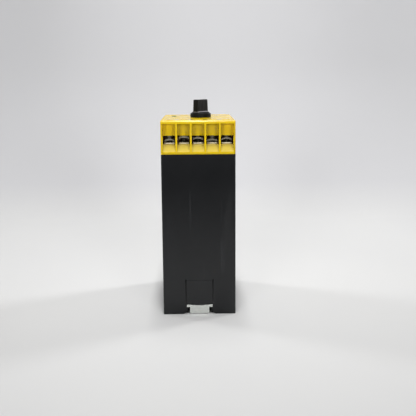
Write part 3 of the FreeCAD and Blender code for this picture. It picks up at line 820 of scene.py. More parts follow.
FINISHES: dict[Slot, Finish] = {
    Slot.HOUSING: MouldedPlastic(
        linear(5, 7, 10), linear(8, 10, 13), roughness=(0.14, 0.2), grain=0.35, grain_height=0.005,
        worn=linear(50, 51, 54), wear=0.4, scuffs=Scuffs(linear(36, 37, 40)), specular=0.43,
    ),
    Slot.COVER: MouldedPlastic(
        linear(232, 198, 12), linear(230, 194, 12), roughness=(0.17, 0.24), grain=0.45,
        grain_height=0.004, worn=linear(238, 212, 60), wear=0.3, specular=0.3,
        polish=PolishZone(half_width=20.0, reach=(19.0, 29.6), level=FACE_LEVEL, roughness=0.14, fade=0.72),
    ),
    Slot.LATCH: PlatedMetal(
        linear(203, 206, 202), linear(188, 191, 187), roughness=(0.34, 0.48), lines=Axis.X,
        line_width=0.4, line_depth=0.008,
    ),
    Slot.SPRING: PlatedMetal(
        linear(176, 178, 180), linear(140, 142, 144), roughness=(0.22, 0.34), lines=Axis.Y,
        line_width=0.15, line_depth=0.004,
    ),
    Slot.KNOB: MouldedPlastic(
        linear(18, 18, 17), linear(21, 21, 20), roughness=(0.4, 0.5), grain=0.25, grain_height=0.01,
        worn=linear(54, 54, 55), wear=0.4, specular=0.06,
    ),
    Slot.SHAFT: PlatedMetal(
        linear(190, 188, 182), linear(160, 158, 152), roughness=(0.25, 0.4), lines=Axis.Z, line_width=0.2,
        line_depth=0.004,
    ),
    Slot.POT: MouldedPlastic(
        linear(44, 92, 152), linear(36, 80, 138), roughness=(0.3, 0.42), grain=0.4, grain_height=0.008,
    ),
    Slot.LAMP: TintedLens(linear(16, 90, 52), linear(36, 120, 72)),
    Slot.SPACER: MouldedPlastic(
        linear(226, 226, 220), linear(214, 214, 206), roughness=(0.4, 0.5), grain=0.4, grain_height=0.008,
    ),
    Slot.BOARD: CircuitLaminate(linear(30, 96, 58), linear(48, 122, 74)),
    Slot.CHIP: MouldedPlastic(
        linear(34, 34, 35), linear(42, 42, 43), roughness=(0.5, 0.62), grain=0.2, grain_height=0.01,
    ),
    Slot.CAN: MouldedPlastic(
        linear(38, 44, 88), linear(32, 37, 76), roughness=(0.18, 0.28), grain=1.2, grain_height=0.006,
    ),
    Slot.FILM: MouldedPlastic(
        linear(164, 48, 36), linear(148, 40, 30), roughness=(0.2, 0.32), grain=1.0, grain_height=0.008,
    ),
    Slot.RESISTOR: MouldedPlastic(
        linear(198, 172, 130), linear(182, 156, 116), roughness=(0.35, 0.5), grain=0.3,
        grain_height=0.008,
    ),
    Slot.RELAY: MouldedPlastic(
        linear(84, 85, 88), linear(74, 75, 78), roughness=(0.35, 0.48), grain=0.35, grain_height=0.01,
    ),
    Slot.CONTACT: PlatedMetal(
        linear(200, 189, 160), linear(176, 164, 135), roughness=(0.3, 0.44), lines=Axis.Y, line_width=0.3,
        line_depth=0.006,
    ),
    Slot.CLAMP: PlatedMetal(
        linear(142, 138, 120), linear(108, 104, 86), roughness=(0.36, 0.52), lines=Axis.X, line_width=0.3,
        line_depth=0.006, metal=0.45,
    ),
    Slot.SCREW: PlatedMetal(
        linear(82, 78, 66), linear(62, 58, 48), roughness=(0.4, 0.55), lines=Axis.X, line_width=0.2,
        line_depth=0.003, metal=0.6,
    ),
}
# Painted sheen: the wire ramps are paler and less yellow than the cover, standing in for the light that
# they catch.
RAMP_SHEEN = MouldedPlastic(
    linear(243, 216, 93), linear(239, 211, 83), roughness=(0.36, 0.46), grain=0.45, grain_height=0.008,
    specular=0.3, patch=5.0,
)
# Painted shade: dark brown on the walls of the wire chambers behind the windows, where shade falls.
CHAMBER_SHADE = MouldedPlastic(
    linear(92, 54, 20), linear(74, 44, 18), roughness=(0.45, 0.6), grain=0.4, grain_height=0.01,
    specular=0.25,
)
# Painted highlight: a pale grey band on the rounding where the knob's bar meets its cone, standing in for
# the light that it catches.
FOOT_HIGHLIGHT = MouldedPlastic(
    linear(124, 121, 127), linear(106, 103, 109), roughness=(0.36, 0.46), grain=0.25, grain_height=0.008,
    specular=0.4,
)
GROOVE = MouldedPlastic(
    linear(33, 33, 34), linear(37, 37, 38), roughness=(0.6, 0.75), grain=0.3, grain_height=0.01,
    specular=0.1,
)
POINTER_PAINT = MouldedPlastic(
    linear(226, 226, 222), linear(208, 208, 204), roughness=(0.4, 0.5), grain=0.3, grain_height=0.006,
)
SCALE_INK = MouldedPlastic(
    linear(28, 28, 28), linear(40, 40, 40), roughness=(0.5, 0.6), grain=0.3, grain_height=0.004,
)
PAPER = StudioPaper(
    linear(224, 224, 223), linear(220, 220, 220), linear(214, 214, 216), climb=(1.0, 26.0),
)


class Palette:
    """Makes each finish once and hands it out."""

    def __init__(self) -> None:
        """Starts with nothing made."""
        self.made: dict[str, Material] = {}

    def named(self, name: str, finish: Finish) -> Material:
        """The material of a finish, made at its first use.

        Args:
            name: Name of the material.
            finish: The finish that makes it.

        Returns:
            The material.
        """
        if name not in self.made:
            self.made[name] = finish.material(name)
        return self.made[name]

    def slot(self, slot: Slot) -> Material:
        """The material of one of the record's slots."""
        return self.named(slot.value, FINISHES[slot])


def as_object(name: str, shape: Shape, crease: Crease = Crease.PLAIN) -> Piece:
    """Turns a built shape into a smooth-shaded object whose real edges stay crisp.

    Args:
        name: Name of the piece.
        shape: The shape, in metres; it is used up.
        crease: Bend over which an edge stays crisp.

    Returns:
        The object.
    """
    mesh = bpy.data.meshes.new(name)
    bmesh.ops.recalc_face_normals(shape, faces=shape.faces)
    shape.to_mesh(mesh)
    shape.free()
    mesh.shade_smooth()
    mesh.set_sharp_from_angle(angle=math.radians(crease.value))
    piece = bpy.data.objects.new(name, mesh)
    bpy.context.scene.collection.objects.link(piece)
    return piece


def node_shape(node: str) -> Shape:
    """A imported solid's mesh as closed, plain faces.

    Args:
        node: Name of the solid.

    Returns:
        The shape.
    """
    shape = bmesh.new()
    shape.from_mesh(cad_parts[node].data)
    bmesh.ops.remove_doubles(shape, verts=shape.verts, dist=WELD)
    limit = math.radians(FLAT_DEG)
    bmesh.ops.dissolve_limit(shape, angle_limit=limit, verts=shape.verts, edges=shape.edges)
    return shape


def roomy(edge: Edge, radius: float) -> bool:
    """Whether the faces beside an edge are wide enough for it to be rounded.

    Args:
        edge: The edge.
        radius: Radius of the rounding in metres.

    Returns:
        True if they are.
    """
    least = ROOM * radius
    for loop in edge.link_loops:
        beside = (loop.link_loop_prev.edge, loop.link_loop_next.edge)
        if any(other.calc_length() < least for other in beside):
            return False
    return edge.calc_length() > least


def outer_edges(shape: Shape, radius: float) -> list[Edge]:
    """The outer edges of a shape that have room for a rounding.

    Args:
        shape: The shape.
        radius: Radius of the rounding in millimetres.

    Returns:
        The edges.
    """
    limit = math.radians(Crease.PLAIN.value)
    return [
        edge for edge in shape.edges
        if edge.is_manifold and edge.calc_face_angle() > limit
        and edge.is_convex and roomy(edge, radius * MM)
    ]


def rounded(shape: Shape, edges: list[Edge], radius: float, steps: int) -> None:
    """Rounds some edges of a shape.

    Args:
        shape: The shape.
        edges: Its edges to round.
        radius: Radius in millimetres.
        steps: Faces across each rounding.
    """
    bmesh.ops.bevel(
        shape, geom=edges, offset=radius * MM, offset_type="OFFSET", segments=steps, profile=0.5,
        affect="EDGES", clamp_overlap=False, miter_outer="SHARP", miter_inner="SHARP",
    )


def in_order(shape: Shape) -> None:
    """Puts points, edges and faces of a shape in an order that is the same at every run.

    Args:
        shape: The shape.
    """
    shape.verts.sort(key=lambda point: point.co.dot(ORDER))
    shape.edges.sort(key=lambda edge: (edge.verts[0].co + edge.verts[1].co).dot(ORDER))
    shape.faces.sort(key=lambda face: face.calc_center_median().dot(ORDER))


def crisp(name: str, shape: Shape) -> Piece:
    """Turns a rounded shape into an object whose wide faces stay flat beside their rounded edges.

    Args:
        name: Name of the piece.
        shape: The shape, in metres; it is used up.

    Returns:
        The piece.
    """
    in_order(shape)
    piece = as_object(name, shape, Crease.ROUNDED)
    piece.modifiers.new("flat_faces", "WEIGHTED_NORMAL").keep_sharp = True
    return piece


def rounded_copy(node: str, name: str, radius: float, steps: int = EDGE_STEPS) -> Piece:
    """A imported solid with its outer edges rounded.

    Args:
        node: Name of the solid.
        name: Name of the new piece.
        radius: Radius of the edges in millimetres.
        steps: Faces across each rounding.

    Returns:
        The piece.
    """
    shape = node_shape(node)
    rounded(shape, outer_edges(shape, radius), radius, steps)
    return crisp(name, shape)


def arc(steps: int, span_deg: float = 90.0) -> list[Pair]:
    """Cosine and sine at equal steps through an angle, from its start to its end.

    Args:
        steps: Number of steps.
        span_deg: The angle.

    Returns:
        One pair more than there are steps.
    """
    bends = [math.radians(span_deg * step / steps) for step in range(steps + 1)]
    return [(math.cos(bend), math.sin(bend)) for bend in bends]


def shoulder(radius: float, level: float, edge: float, span_deg: float = 90.0) -> list[Pair]:
    """The rounded upper edge in the outline of a turned body.

    Args:
        radius: Radius of the body.
        level: Height of its upper face.
        edge: Radius of the rounding.
        span_deg: Angle that it turns through.

    Returns:
        Points (radius, z), upwards.
    """
    points = [(radius, level - edge)]
    for c, s in arc(RIM_STEPS, span_deg)[1:]:
        points.append((radius - edge + edge * c, level - edge + edge * s))
    return points


def turned(outline: Outline, segments: int) -> Shape:
    """A closed body of revolution about Z.

    Args:
        outline: (radius, z) in millimetres, from the axis or a bore round to the axis or bore again.
        segments: Faces round it.

    Returns:
        The shape, in metres.
    """
    shape = bmesh.new()
    rings: list[list[bmesh.types.BMVert]] = []
    for radius, z in outline:
        reach = radius * MM
        angles = [FULL_TURN * i / segments for i in range(segments if radius else 1)]
        rings.append([shape.verts.new((reach * math.cos(a), reach * math.sin(a), z * MM)) for a in angles])
    pairs = list(zip(rings, rings[1:]))
    if outline[0][0] and outline[-1][0]:
        pairs.append((rings[-1], rings[0]))
    for low, high in pairs:
        for i in range(segments):
            j = (i + 1) % segments
            corners = [low[i % len(low)], low[j % len(low)], high[j % len(high)], high[i % len(high)]]
            corners = list(dict.fromkeys(corners))
            if len(corners) > 2:
                shape.faces.new(corners)
    return shape


def lofted(rings: Sequence[Sequence[Point]]) -> Shape:
    """A closed body through outlines with equal numbers of points, capped at both ends.

    Args:
        rings: The outlines in millimetres, from one end to the other.

    Returns:
        The shape, in metres.
    """
    shape = bmesh.new()
    made = [[shape.verts.new([c * MM for c in point]) for point in ring] for ring in rings]
    count = len(made[0])
    for low, high in zip(made, made[1:]):
        for i in range(count):
            j = (i + 1) % count
            shape.faces.new((low[i], low[j], high[j], high[i]))
    shape.faces.new(made[0][::-1])
    shape.faces.new(made[-1])
    return shape


def block(low: Point, high: Point) -> Shape:
    """A plain block between two corners in millimetres, used for cutting and for thin inlays.

    Args:
        low: Lowest corner.
        high: Highest corner.

    Returns:
        The shape, in metres.
    """
    corners = [(low[0], low[1]), (high[0], low[1]), (high[0], high[1]), (low[0], high[1])]
    return lofted([[(x, y, z) for x, y in corners] for z in (low[2], high[2])])


def combined(first: Shape, second: Shape, kind: Joining) -> Shape:
    """Joins two closed shapes, or cuts one with the other.

    Args:
        first: The shape that stays; it is used up.
        second: The shape that is added or cut away; it is used up.
        kind: How they are put together.

    Returns:
        The result.
    """
    base, tool = as_object("base_shape", first), as_object("tool_shape", second)
    step = base.modifiers.new("step", "BOOLEAN")
    step.operation, step.object, step.solver = kind.value, tool, "EXACT"
    bpy.context.view_layer.update()
    mesh = bpy.data.meshes.new_from_object(base.evaluated_get(bpy.context.evaluated_depsgraph_get()))
    result = bmesh.new()
    result.from_mesh(mesh)
    for spare in (base, tool):
        data = spare.data
        bpy.data.objects.remove(spare)
        bpy.data.meshes.remove(data)
    bpy.data.meshes.remove(mesh)
    bmesh.ops.remove_doubles(result, verts=result.verts, dist=WELD)
    bmesh.ops.dissolve_degenerate(result, dist=WELD, edges=result.edges)
    return result


class SubAssembly:
    """What every sub-assembly shares: a palette, and a way to fit a piece to its body."""

    palette: Palette

    def fit(
        self, piece: Piece, body: str, material: Material, slot: Optional[Slot] = None,
        nodes: Sequence[str] = (),
    ) -> Piece:
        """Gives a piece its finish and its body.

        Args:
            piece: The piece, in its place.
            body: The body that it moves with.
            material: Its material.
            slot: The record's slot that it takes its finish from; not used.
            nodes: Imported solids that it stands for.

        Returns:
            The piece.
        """
        piece.data.materials.append(material)
        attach(piece, body)
        if nodes:
            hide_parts(*nodes)
        log.info("%s rides on %s", piece.name, body)
        return piece

    def dress_node(self, node: str, slot: Slot) -> None:
        """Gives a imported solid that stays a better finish.

        Args:
            node: Name of the solid.
            slot: The record's slot of its finish.
        """
        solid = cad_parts[node]
        solid.data.materials.clear()
        solid.data.materials.append(self.palette.slot(slot))
        log.info("%s keeps its shape", node)


@dataclass
class Housing(SubAssembly):
    """The black housing with its rail channel, latch slot and the grooves of its latch tongue.

    Attributes:
        palette: Finishes.
        edge_radius: Rounding of its moulded edges.
        groove_low: Lowest X (either side), Y and Z of the tongue's grooves.
        groove_high: Highest ones.
    """

    palette: Palette
    edge_radius: float = 0.2
    groove_low: Point = (7.5, -37.45, 6.5)
    groove_high: Point = (9.3, -35.9, 23.0)

    def build(self) -> Piece:
        """Makes the housing with rounded edges."""
        return rounded_copy("housing", "housing_moulding", self.edge_radius)

    def dress(self, piece: Piece) -> None:
        """Gives it the black finish, and a matt one in the grooves.

        Args:
            piece: The housing.
        """
        self.fit(piece, Body.MODULE.value, self.palette.slot(Slot.HOUSING), Slot.HOUSING, ["housing"])
        piece.data.materials.append(self.palette.named("groove_matt", GROOVE))
        for face in piece.data.polygons:
            spot = (abs(face.center.x) / MM, face.center.y / MM, face.center.z / MM)
            if all(low < value < high for low, value, high in zip(self.groove_low, spot, self.groove_high)):
                face.material_index = 1


@dataclass
class FrontCover(SubAssembly):
    """The yellow cover and the scale round the knob.

    Attributes:
        palette: Finishes.
        edge_radius: Rounding of its moulded edges.
        rim_radius: Rounding of the holes in the front plate.
        rim_turn_deg: Least bend at the rim of a hole.
        brow_rounding: How far the slopes along the front plate's wire sides are rounded, each way.
        brow_slope: Height of these slopes.
        brow_length: Shortest edge that can belong to them.
        half_depth: Half of the depth from wire side to wire side.
        face_level: Height of the front plate.
        ramp_levels: Heights between which the wire ramps lie.
        ramp_tilt: Lowest and highest upward part of a ramp's normal.
        ramp_area: Least area of a ramp in square millimetres.
        chamber_levels: Heights between which the chambers behind the wire windows lie.
        chamber_reach: How far from the middle the chambers start and end.
        knob_axis: X and Y of the knob's axis.
        first_tick_deg: Where the scale starts, which is where the knob points at rest.
        sweep_deg: Clockwise span of the scale.
        ticks: Number of ticks.
        tick_start: Inner radius of the scale.
        tick_lengths: Lengths of a main and a lesser tick.
        tick_width: Width of a tick.
        ink_height: Thickness of the ink.
    """

    palette: Palette
    edge_radius: float = 0.15
    rim_radius: float = 0.45
    rim_turn_deg: float = 80.0
    brow_rounding: float = 0.45
    brow_slope: float = 0.65
    brow_length: float = 10.0
    half_depth: float = 37.5
    face_level: float = FACE_LEVEL
    ramp_levels: Pair = (101.0, 106.3)
    ramp_tilt: Pair = (0.5, 0.9)
    ramp_area: float = 1.0
    chamber_levels: Pair = (104.0, 113.2)
    chamber_reach: Pair = (18.0, 31.4)
    knob_axis: Pair = KNOB_AXIS
    first_tick_deg: float = KNOB_POINTS_DEG
    sweep_deg: float = 280.0
    ticks: int = 11
    tick_start: float = 8.3
    tick_lengths: Pair = (2.2, 1.3)
    tick_width: float = 0.45
    ink_height: float = 0.02

    def build(self) -> Piece:
        """Makes the cover with rounded edges and well rounded holes.

        Returns:
            The piece.
        """
        shape = node_shape("front_cover")
        top = self.face_level * MM
        rims = [
            edge for edge in shape.edges
            if edge.calc_length() < 2 * self.rim_radius * MM and edge.is_manifold and edge.is_convex
            and all(abs(corner.co.z - top) < WELD for corner in edge.verts)
            and edge.calc_face_angle() > math.radians(self.rim_turn_deg)
        ]
        rounded(shape, rims, self.rim_radius, RIM_STEPS)
        brows = [edge for edge in shape.edges if self.on_brow(edge)]
        rounded(shape, brows, self.brow_rounding, RIM_STEPS)
        rounded(shape, outer_edges(shape, self.edge_radius), self.edge_radius, EDGE_STEPS)
        return crisp("cover_moulding", shape)

    def on_brow(self, edge: Edge) -> bool:
        """Whether an edge bounds the slope between the front plate and a wire side.

        Args:
            edge: The edge.

        Returns:
            True if it does.
        """
        if edge.calc_length() < self.brow_length * MM:
            return False
        for setback, drop in ((0.0, self.brow_slope), (self.brow_slope, 0.0)):
            depth, level = (self.half_depth - setback) * MM, (self.face_level - drop) * MM
            misses = [max(abs(abs(v.co.y) - depth), abs(v.co.z - level)) for v in edge.verts]
            if max(misses) < 2 * WELD:
                return True
        return False

    def build_scale(self) -> Piece:
        """Makes the printed ticks round the knob.

        Returns:
            The piece.
        """
        scale = bmesh.new()
        for number in range(self.ticks):
            length = self.tick_lengths[number % 2]
            half = self.tick_width / 2
            tick = block(
                (self.tick_start, -half, self.face_level - self.ink_height),
                (self.tick_start + length, half, self.face_level + self.ink_height),
            )
            angle = math.radians(self.first_tick_deg - self.sweep_deg * number / (self.ticks - 1))
            place = Matrix.Translation((self.knob_axis[0] * MM, self.knob_axis[1] * MM, 0.0))
            bmesh.ops.transform(tick, matrix=place @ Matrix.Rotation(angle, 4, "Z"), verts=tick.verts)
            mesh = bpy.data.meshes.new("tick")
            tick.to_mesh(mesh)
            tick.free()
            scale.from_mesh(mesh)
            bpy.data.meshes.remove(mesh)
        return as_object("dial_scale", scale)

    def dress(self, piece: Piece, scale: Piece) -> None:
        """Gives the cover its yellow finish, a painted sheen on the ramps and painted shade in the wire
        chambers, and the scale its ink.

        Args:
            piece: The cover.
            scale: The ticks.
        """
        self.fit(piece, Body.MODULE.value, self.palette.slot(Slot.COVER), Slot.COVER, ["front_cover"])
        piece.data.materials.append(self.palette.named("ramp_painted_sheen", RAMP_SHEEN))
        piece.data.materials.append(self.palette.named("chamber_painted_shade", CHAMBER_SHADE))
        low, high = (level * MM for level in self.ramp_levels)
        floor, ceiling = (level * MM for level in self.chamber_levels)
        near, far = (reach * MM for reach in self.chamber_reach)
        steep, gentle = self.ramp_tilt
        for face in piece.data.polygons:
            # Ramp faces take the painted sheen.
            on_ramp = low < face.center.z < high and steep < face.normal.z < gentle
            if on_ramp and face.area > self.ramp_area * MM**2:
                face.material_index = 1
            # Faces inside the wire chambers take the painted shade.
            elif floor < face.center.z < ceiling and near < abs(face.center.y) < far:
                face.material_index = 2
        self.fit(scale, Body.MODULE.value, self.palette.named("scale_ink", SCALE_INK))


@dataclass
class Terminal(SubAssembly):
    """One screw terminal: contact plate, arched clamp plate and screw.

    Attributes:
        palette: Finishes.
        side: The wire side that it is on.
        number: Its place along that side, from 1.
        shank_radius: Outer radius of the thread.
        thread_depth: Depth of the thread.
        pitch: Pitch of the thread.
        shank_length: Length under the head.
        tip_length: Length of the pointed tip.
        tip_slope: How fast the tip narrows.
        head_radius: Radius of the head.
        head_height: Height of the head.
        head_edge: Rounding of the head's upper edge.
        head_chamfer: Chamfer of its lower edge.
        slot_width: Width of the driver slot.
        slot_depth: Depth of the driver slot.
        segments: Faces round the shank.
        rings_per_pitch: Rings of faces in one turn of the thread.
        sheet_edge: Rounding of the plates' edges.
    """

    palette: Palette
    side: WireSide
    number: int
    shank_radius: float = 1.5
    thread_depth: float = 0.27
    pitch: float = 0.5
    shank_length: float = 6.3
    tip_length: float = 0.45
    tip_slope: float = 0.8
    head_radius: float = 2.75
    head_height: float = 2.0
    head_edge: float = 0.3
    head_chamfer: float = 0.12
    slot_width: float = 0.9
    slot_depth: float = 1.0
    segments: int = 28
    rings_per_pitch: int = 6
    sheet_edge: float = 0.1

    @property
    def name(self) -> str:
        """Short name of the terminal, such as a1."""
        return f"{self.side.value}{self.number}"

    def shank(self) -> Shape:
        """The threaded shank, from its tip up to the underside of the head at Z 0.

        Returns:
            The shape.
        """
        step = self.pitch / self.rings_per_pitch
        count = round(self.shank_length / step)
        rings = []
        for ring in range(count + 1):
            z = -self.shank_length + self.shank_length * ring / count
            tip = max(0.0, self.tip_length - (z + self.shank_length)) * self.tip_slope
            points = []
            for i in range(self.segments):
                turn = i / self.segments
                phase = (z / self.pitch - turn) % 1.0
                groove = self.thread_depth * abs(2 * phase - 1)
                radius = self.shank_radius - max(groove, tip)
                points.append((radius * math.cos(FULL_TURN * turn), radius * math.sin(FULL_TURN * turn), z))
            rings.append(points)
        return lofted(rings)

    def head(self) -> Shape:
        """The slotted cheese head, its underside at Z 0.

        Returns:
            The shape.
        """
        radius, height = self.head_radius, self.head_height
        outline = [(0.0, 0.0), (radius - self.head_chamfer, 0.0), (radius, self.head_chamfer)]
        outline += shoulder(radius, height, self.head_edge) + [(0.0, height)]
        half, reach = self.slot_width / 2, radius + CUT_SPARE
        cut = block((-reach, -half, height - self.slot_depth), (reach, half, height + CUT_SPARE))
        return combined(turned(outline, ROUND_SEGMENTS), cut, Joining.CUT)

    def build_screw(self) -> Piece:
        """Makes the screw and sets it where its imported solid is.

        Returns:
            The piece.
        """
        low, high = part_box(f"terminal_screw_{self.name}")
        shape = combined(self.head(), self.shank(), Joining.ADD)
        screw = as_object(f"screw_{self.name}", shape, Crease.TURNED)
        seat = high.z - self.head_height * MM
        screw.location = ((low.x + high.x) / 2, (low.y + high.y) / 2, seat)
        return screw

    def build(self) -> dict[str, Piece]:
        """Makes the three pieces.

        Returns:
            Pieces by the kind of solid that they stand for.
        """
        name, edge = self.name, self.sheet_edge
        return {
            "contact_plate": rounded_copy(f"contact_plate_{name}", f"contact_{name}", edge),
            "clamp_plate": rounded_copy(f"clamp_plate_{name}", f"clamp_{name}", edge),
            "terminal_screw": self.build_screw(),
        }

    def dress(self, pieces: dict[str, Piece]) -> None:
        """Plates the pieces and fits them to their bodies.

        Args:
            pieces: Pieces by the kind of solid that they stand for.
        """
        plan = (
            ("contact_plate", Body.MODULE.value, Slot.CONTACT),
            ("clamp_plate", f"clamp_{self.name}", Slot.CLAMP),
            ("terminal_screw", f"screw_{self.name}", Slot.SCREW),
        )
        for kind, body, slot in plan:
            self.fit(pieces[kind], body, self.palette.slot(slot), slot, [f"{kind}_{self.name}"])


@dataclass
class SettingKnob(SubAssembly):
    """The skirted bar knob with its fluted grip and painted pointer, and the shaft in it.

    Attributes:
        palette: Finishes.
        axis: X and Y of its axis.
        base: Height of its underside.
        skirt_radius: Radius of the skirt.
        skirt_height: Height of the skirt.
        skirt_edge: Rounding of the skirt's upper edge.
        skirt_turn_deg: Angle that this rounding turns through.
        skirt_chamfer: Chamfer of its lower edge.
        skirt_segments: Faces round the skirt.
        cone_radius: Radius where the cone ends.
        cone_height: Height where the cone ends.
        bar_length: Length of the grip bar.
        bar_thickness: Thickness of the grip bar.
        bar_taper: How much each side leans in up to the top.
        bar_corner: Radius of its upright corners.
        least_corner: Least radius of them where the bar is pulled in.
        corner_steps: Faces across a corner.
        bar_edge: Rounding of its top edge.
        foot_radius: Hollow rounding where the bar meets the cone.
        foot_steps: Faces across that rounding.
        foot_sink: How far its lower end lies in the cone.
        foot_root: How far the bar goes on under the skirt's top.
        highlight_span: How far under and over the cone's top the rounding has a painted highlight.
        highlight_tilt: Least upward part of the normal there.
        height: Height over all.
        pointing_deg: Direction that the bar points in.
        flutes: Number of flutes along each long side.
        flute_depth: Depth of a flute.
        flute_steps: Faces across a flute.
        shaft_radius: Radius of the bore.
        shaft_flat: Depth of the flat in the bore.
        bore_depth: Depth of the bore.
        bore_steps: Faces round the bore.
        pointer_width: Width of the painted line.
        pointer_start: Where the line starts along the bar.
        pointer_root: How far the line reaches down into the bar.
        paint: Thickness of the paint.
    """

    palette: Palette
    axis: Pair = KNOB_AXIS
    base: float = 120.5
    skirt_radius: float = 6.65
    skirt_height: float = 2.4
    skirt_edge: float = 0.4
    skirt_turn_deg: float = 60.0
    skirt_chamfer: float = 0.15
    skirt_segments: int = 96
    cone_radius: float = 5.0
    cone_height: float = 3.4
    bar_length: float = 10.8
    bar_thickness: float = 4.4
    bar_taper: float = 0.2
    bar_corner: float = 0.7
    least_corner: float = 0.2
    corner_steps: int = 6
    bar_edge: float = 0.6
    foot_radius: float = 0.9
    foot_steps: int = 6
    foot_sink: float = 0.06
    foot_root: float = 1.0
    highlight_span: Pair = (-0.25, 0.45)
    highlight_tilt: float = 0.25
    height: float = 11.25
    pointing_deg: float = KNOB_POINTS_DEG
    flutes: int = 6
    flute_depth: float = 0.1
    flute_steps: int = 8
    shaft_radius: float = 2.05
    shaft_flat: float = 1.0
    bore_depth: float = 2.9
    bore_steps: int = 40
    pointer_width: float = 0.8
    pointer_start: float = 0.4
    pointer_root: float = 0.2
    paint: float = 0.03

    def placed(self, shape: Shape, turn_deg: float) -> Shape:
        """Turns a shape about the knob's axis and sets it on the front plate.

        Args:
            shape: The shape, about its own origin.
            turn_deg: Turn about Z.

        Returns:
            The same shape.
        """
        lift = Matrix.Translation((self.axis[0] * MM, self.axis[1] * MM, self.base * MM))
        turn = Matrix.Rotation(math.radians(turn_deg), 4, "Z")
        bmesh.ops.transform(shape, matrix=lift @ turn, verts=shape.verts)
        return shape

    def skirt(self) -> Shape:
        """The round skirt with its low cone.

        Returns:
            The shape.
        """
        radius = self.skirt_radius
        outline = [(0.0, 0.0), (radius - self.skirt_chamfer, 0.0), (radius, self.skirt_chamfer)]
        outline += shoulder(radius, self.skirt_height, self.skirt_edge, self.skirt_turn_deg)
        outline += [(self.cone_radius, self.cone_height), (0.0, self.cone_height)]
        return turned(outline, self.skirt_segments)

    def bar_outline(self, inset: float) -> list[Pair]:
        """Outline of the grip bar, pulled in all round.

        Args:
            inset: How far it is pulled in.

        Returns:
            Points (along, across), going round once.
        """
        half_l, half_t = self.bar_length / 2 - inset, self.bar_thickness / 2 - inset
        corner = max(self.bar_corner - inset / 2, self.least_corner)
        span = 2 * (half_l - corner)
        side: list[Pair] = []
        for flute in range(self.flutes):
            for step in range(self.flute_steps):
                share = step / self.flute_steps
                dip = self.flute_depth * math.sin(math.pi * share) ** 2
                side.append((half_l - corner - span * (flute + share) / self.flutes, half_t - dip))
        bends = arc(self.corner_steps)
        upper = [(-half_l + corner - corner * s, half_t - corner + corner * c) for c, s in bends]
        lower = [(-half_l + corner - corner * c, -half_t + corner - corner * s) for c, s in bends]
        half_round = (side + upper + lower)[:-1]
        return half_round + [(-x, -y) for x, y in half_round]

    def cone_level(self, x: float, y: float) -> float:
        """Height of the skirt's cone at a place.

        Args:
            x: Place along the bar.
            y: Place across the bar.

        Returns:
            The height over the knob's underside.
        """
        rim = self.skirt_radius - self.skirt_edge
        share = (rim - math.hypot(x, y)) / (rim - self.cone_radius)
        return self.skirt_height + (self.cone_height - self.skirt_height) * min(share, 1.0)

    def foot_rings(self) -> list[list[Point]]:
        """Outlines of the hollow rounding at the bar's foot, from just inside the cone upwards.

        Returns:
            The outlines.
        """
        wide = self.bar_outline(-self.foot_radius)
        rings = [[(x, y, self.skirt_height - self.foot_root) for x, y in wide]]
        for c, s in arc(self.foot_steps):
            spread, rise = self.foot_radius * (1 - s), self.foot_radius * (1 - c)
            outline = self.bar_outline(-spread)
            rings.append([(x, y, self.cone_level(x, y) + rise - self.foot_sink) for x, y in outline])
        return rings

    def bar(self) -> Shape:
        """The tapered, fluted grip bar with its hollow foot.

        Returns:
            The shape.
        """
        top, edge = self.height - self.paint, self.bar_edge
        levels = [(top - edge + edge * s, self.bar_taper + edge * (1 - c)) for c, s in arc(RIM_STEPS)]
        grip = [[(x, y, z) for x, y in self.bar_outline(inset)] for z, inset in levels]
        return lofted(self.foot_rings() + grip)

    def build(self) -> Piece:
        """Makes the knob.

        Returns:
            The piece.
        """
        skirt, bar = self.placed(self.skirt(), 0.0), self.placed(self.bar(), self.pointing_deg)
        body = combined(skirt, bar, Joining.ADD)
        angle, steps = math.acos(1 - self.shaft_flat / self.shaft_radius), self.bore_steps
        points = [angle + (FULL_TURN - 2 * angle) * i / steps for i in range(steps + 1)]
        section = [(self.shaft_radius * math.cos(a), self.shaft_radius * math.sin(a)) for a in points]
        bore = lofted([[(x, y, z) for x, y in section] for z in (-CUT_SPARE, self.bore_depth)])
        return as_object("bar_knob", combined(body, self.placed(bore, 0.0), Joining.CUT), Crease.TURNED)

    def build_pointer(self) -> Piece:
        """Makes the painted line on the bar's top.

        Returns:
            The piece.
        """
        half, end = self.pointer_width / 2, self.bar_length / 2 - self.bar_taper - self.bar_edge
        low = (self.pointer_start, -half, self.height - self.pointer_root)
        line = block(low, (end, half, self.height))
        return as_object("knob_pointer", self.placed(line, self.pointing_deg))

    def dress(self, piece: Piece, pointer: Piece) -> None:
        """Finishes knob, pointer and shaft, with a painted highlight on the rounding at the bar's foot.

        Args:
            piece: The knob.
            pointer: The painted line.
        """
        self.fit(piece, Body.KNOB.value, self.palette.slot(Slot.KNOB), Slot.KNOB, ["knob"])
        piece.data.materials.append(self.palette.named("foot_painted_highlight", FOOT_HIGHLIGHT))
        low, high = (self.base + self.cone_height + reach for reach in self.highlight_span)
        # Faces of the foot's rounding take the painted highlight.
        for face in piece.data.polygons:
            if low * MM < face.center.z < high * MM and face.normal.z > self.highlight_tilt:
                face.material_index = 1
        self.fit(pointer, Body.KNOB.value, self.palette.named("pointer_paint", POINTER_PAINT))
        self.dress_node("pot_shaft", Slot.SHAFT)


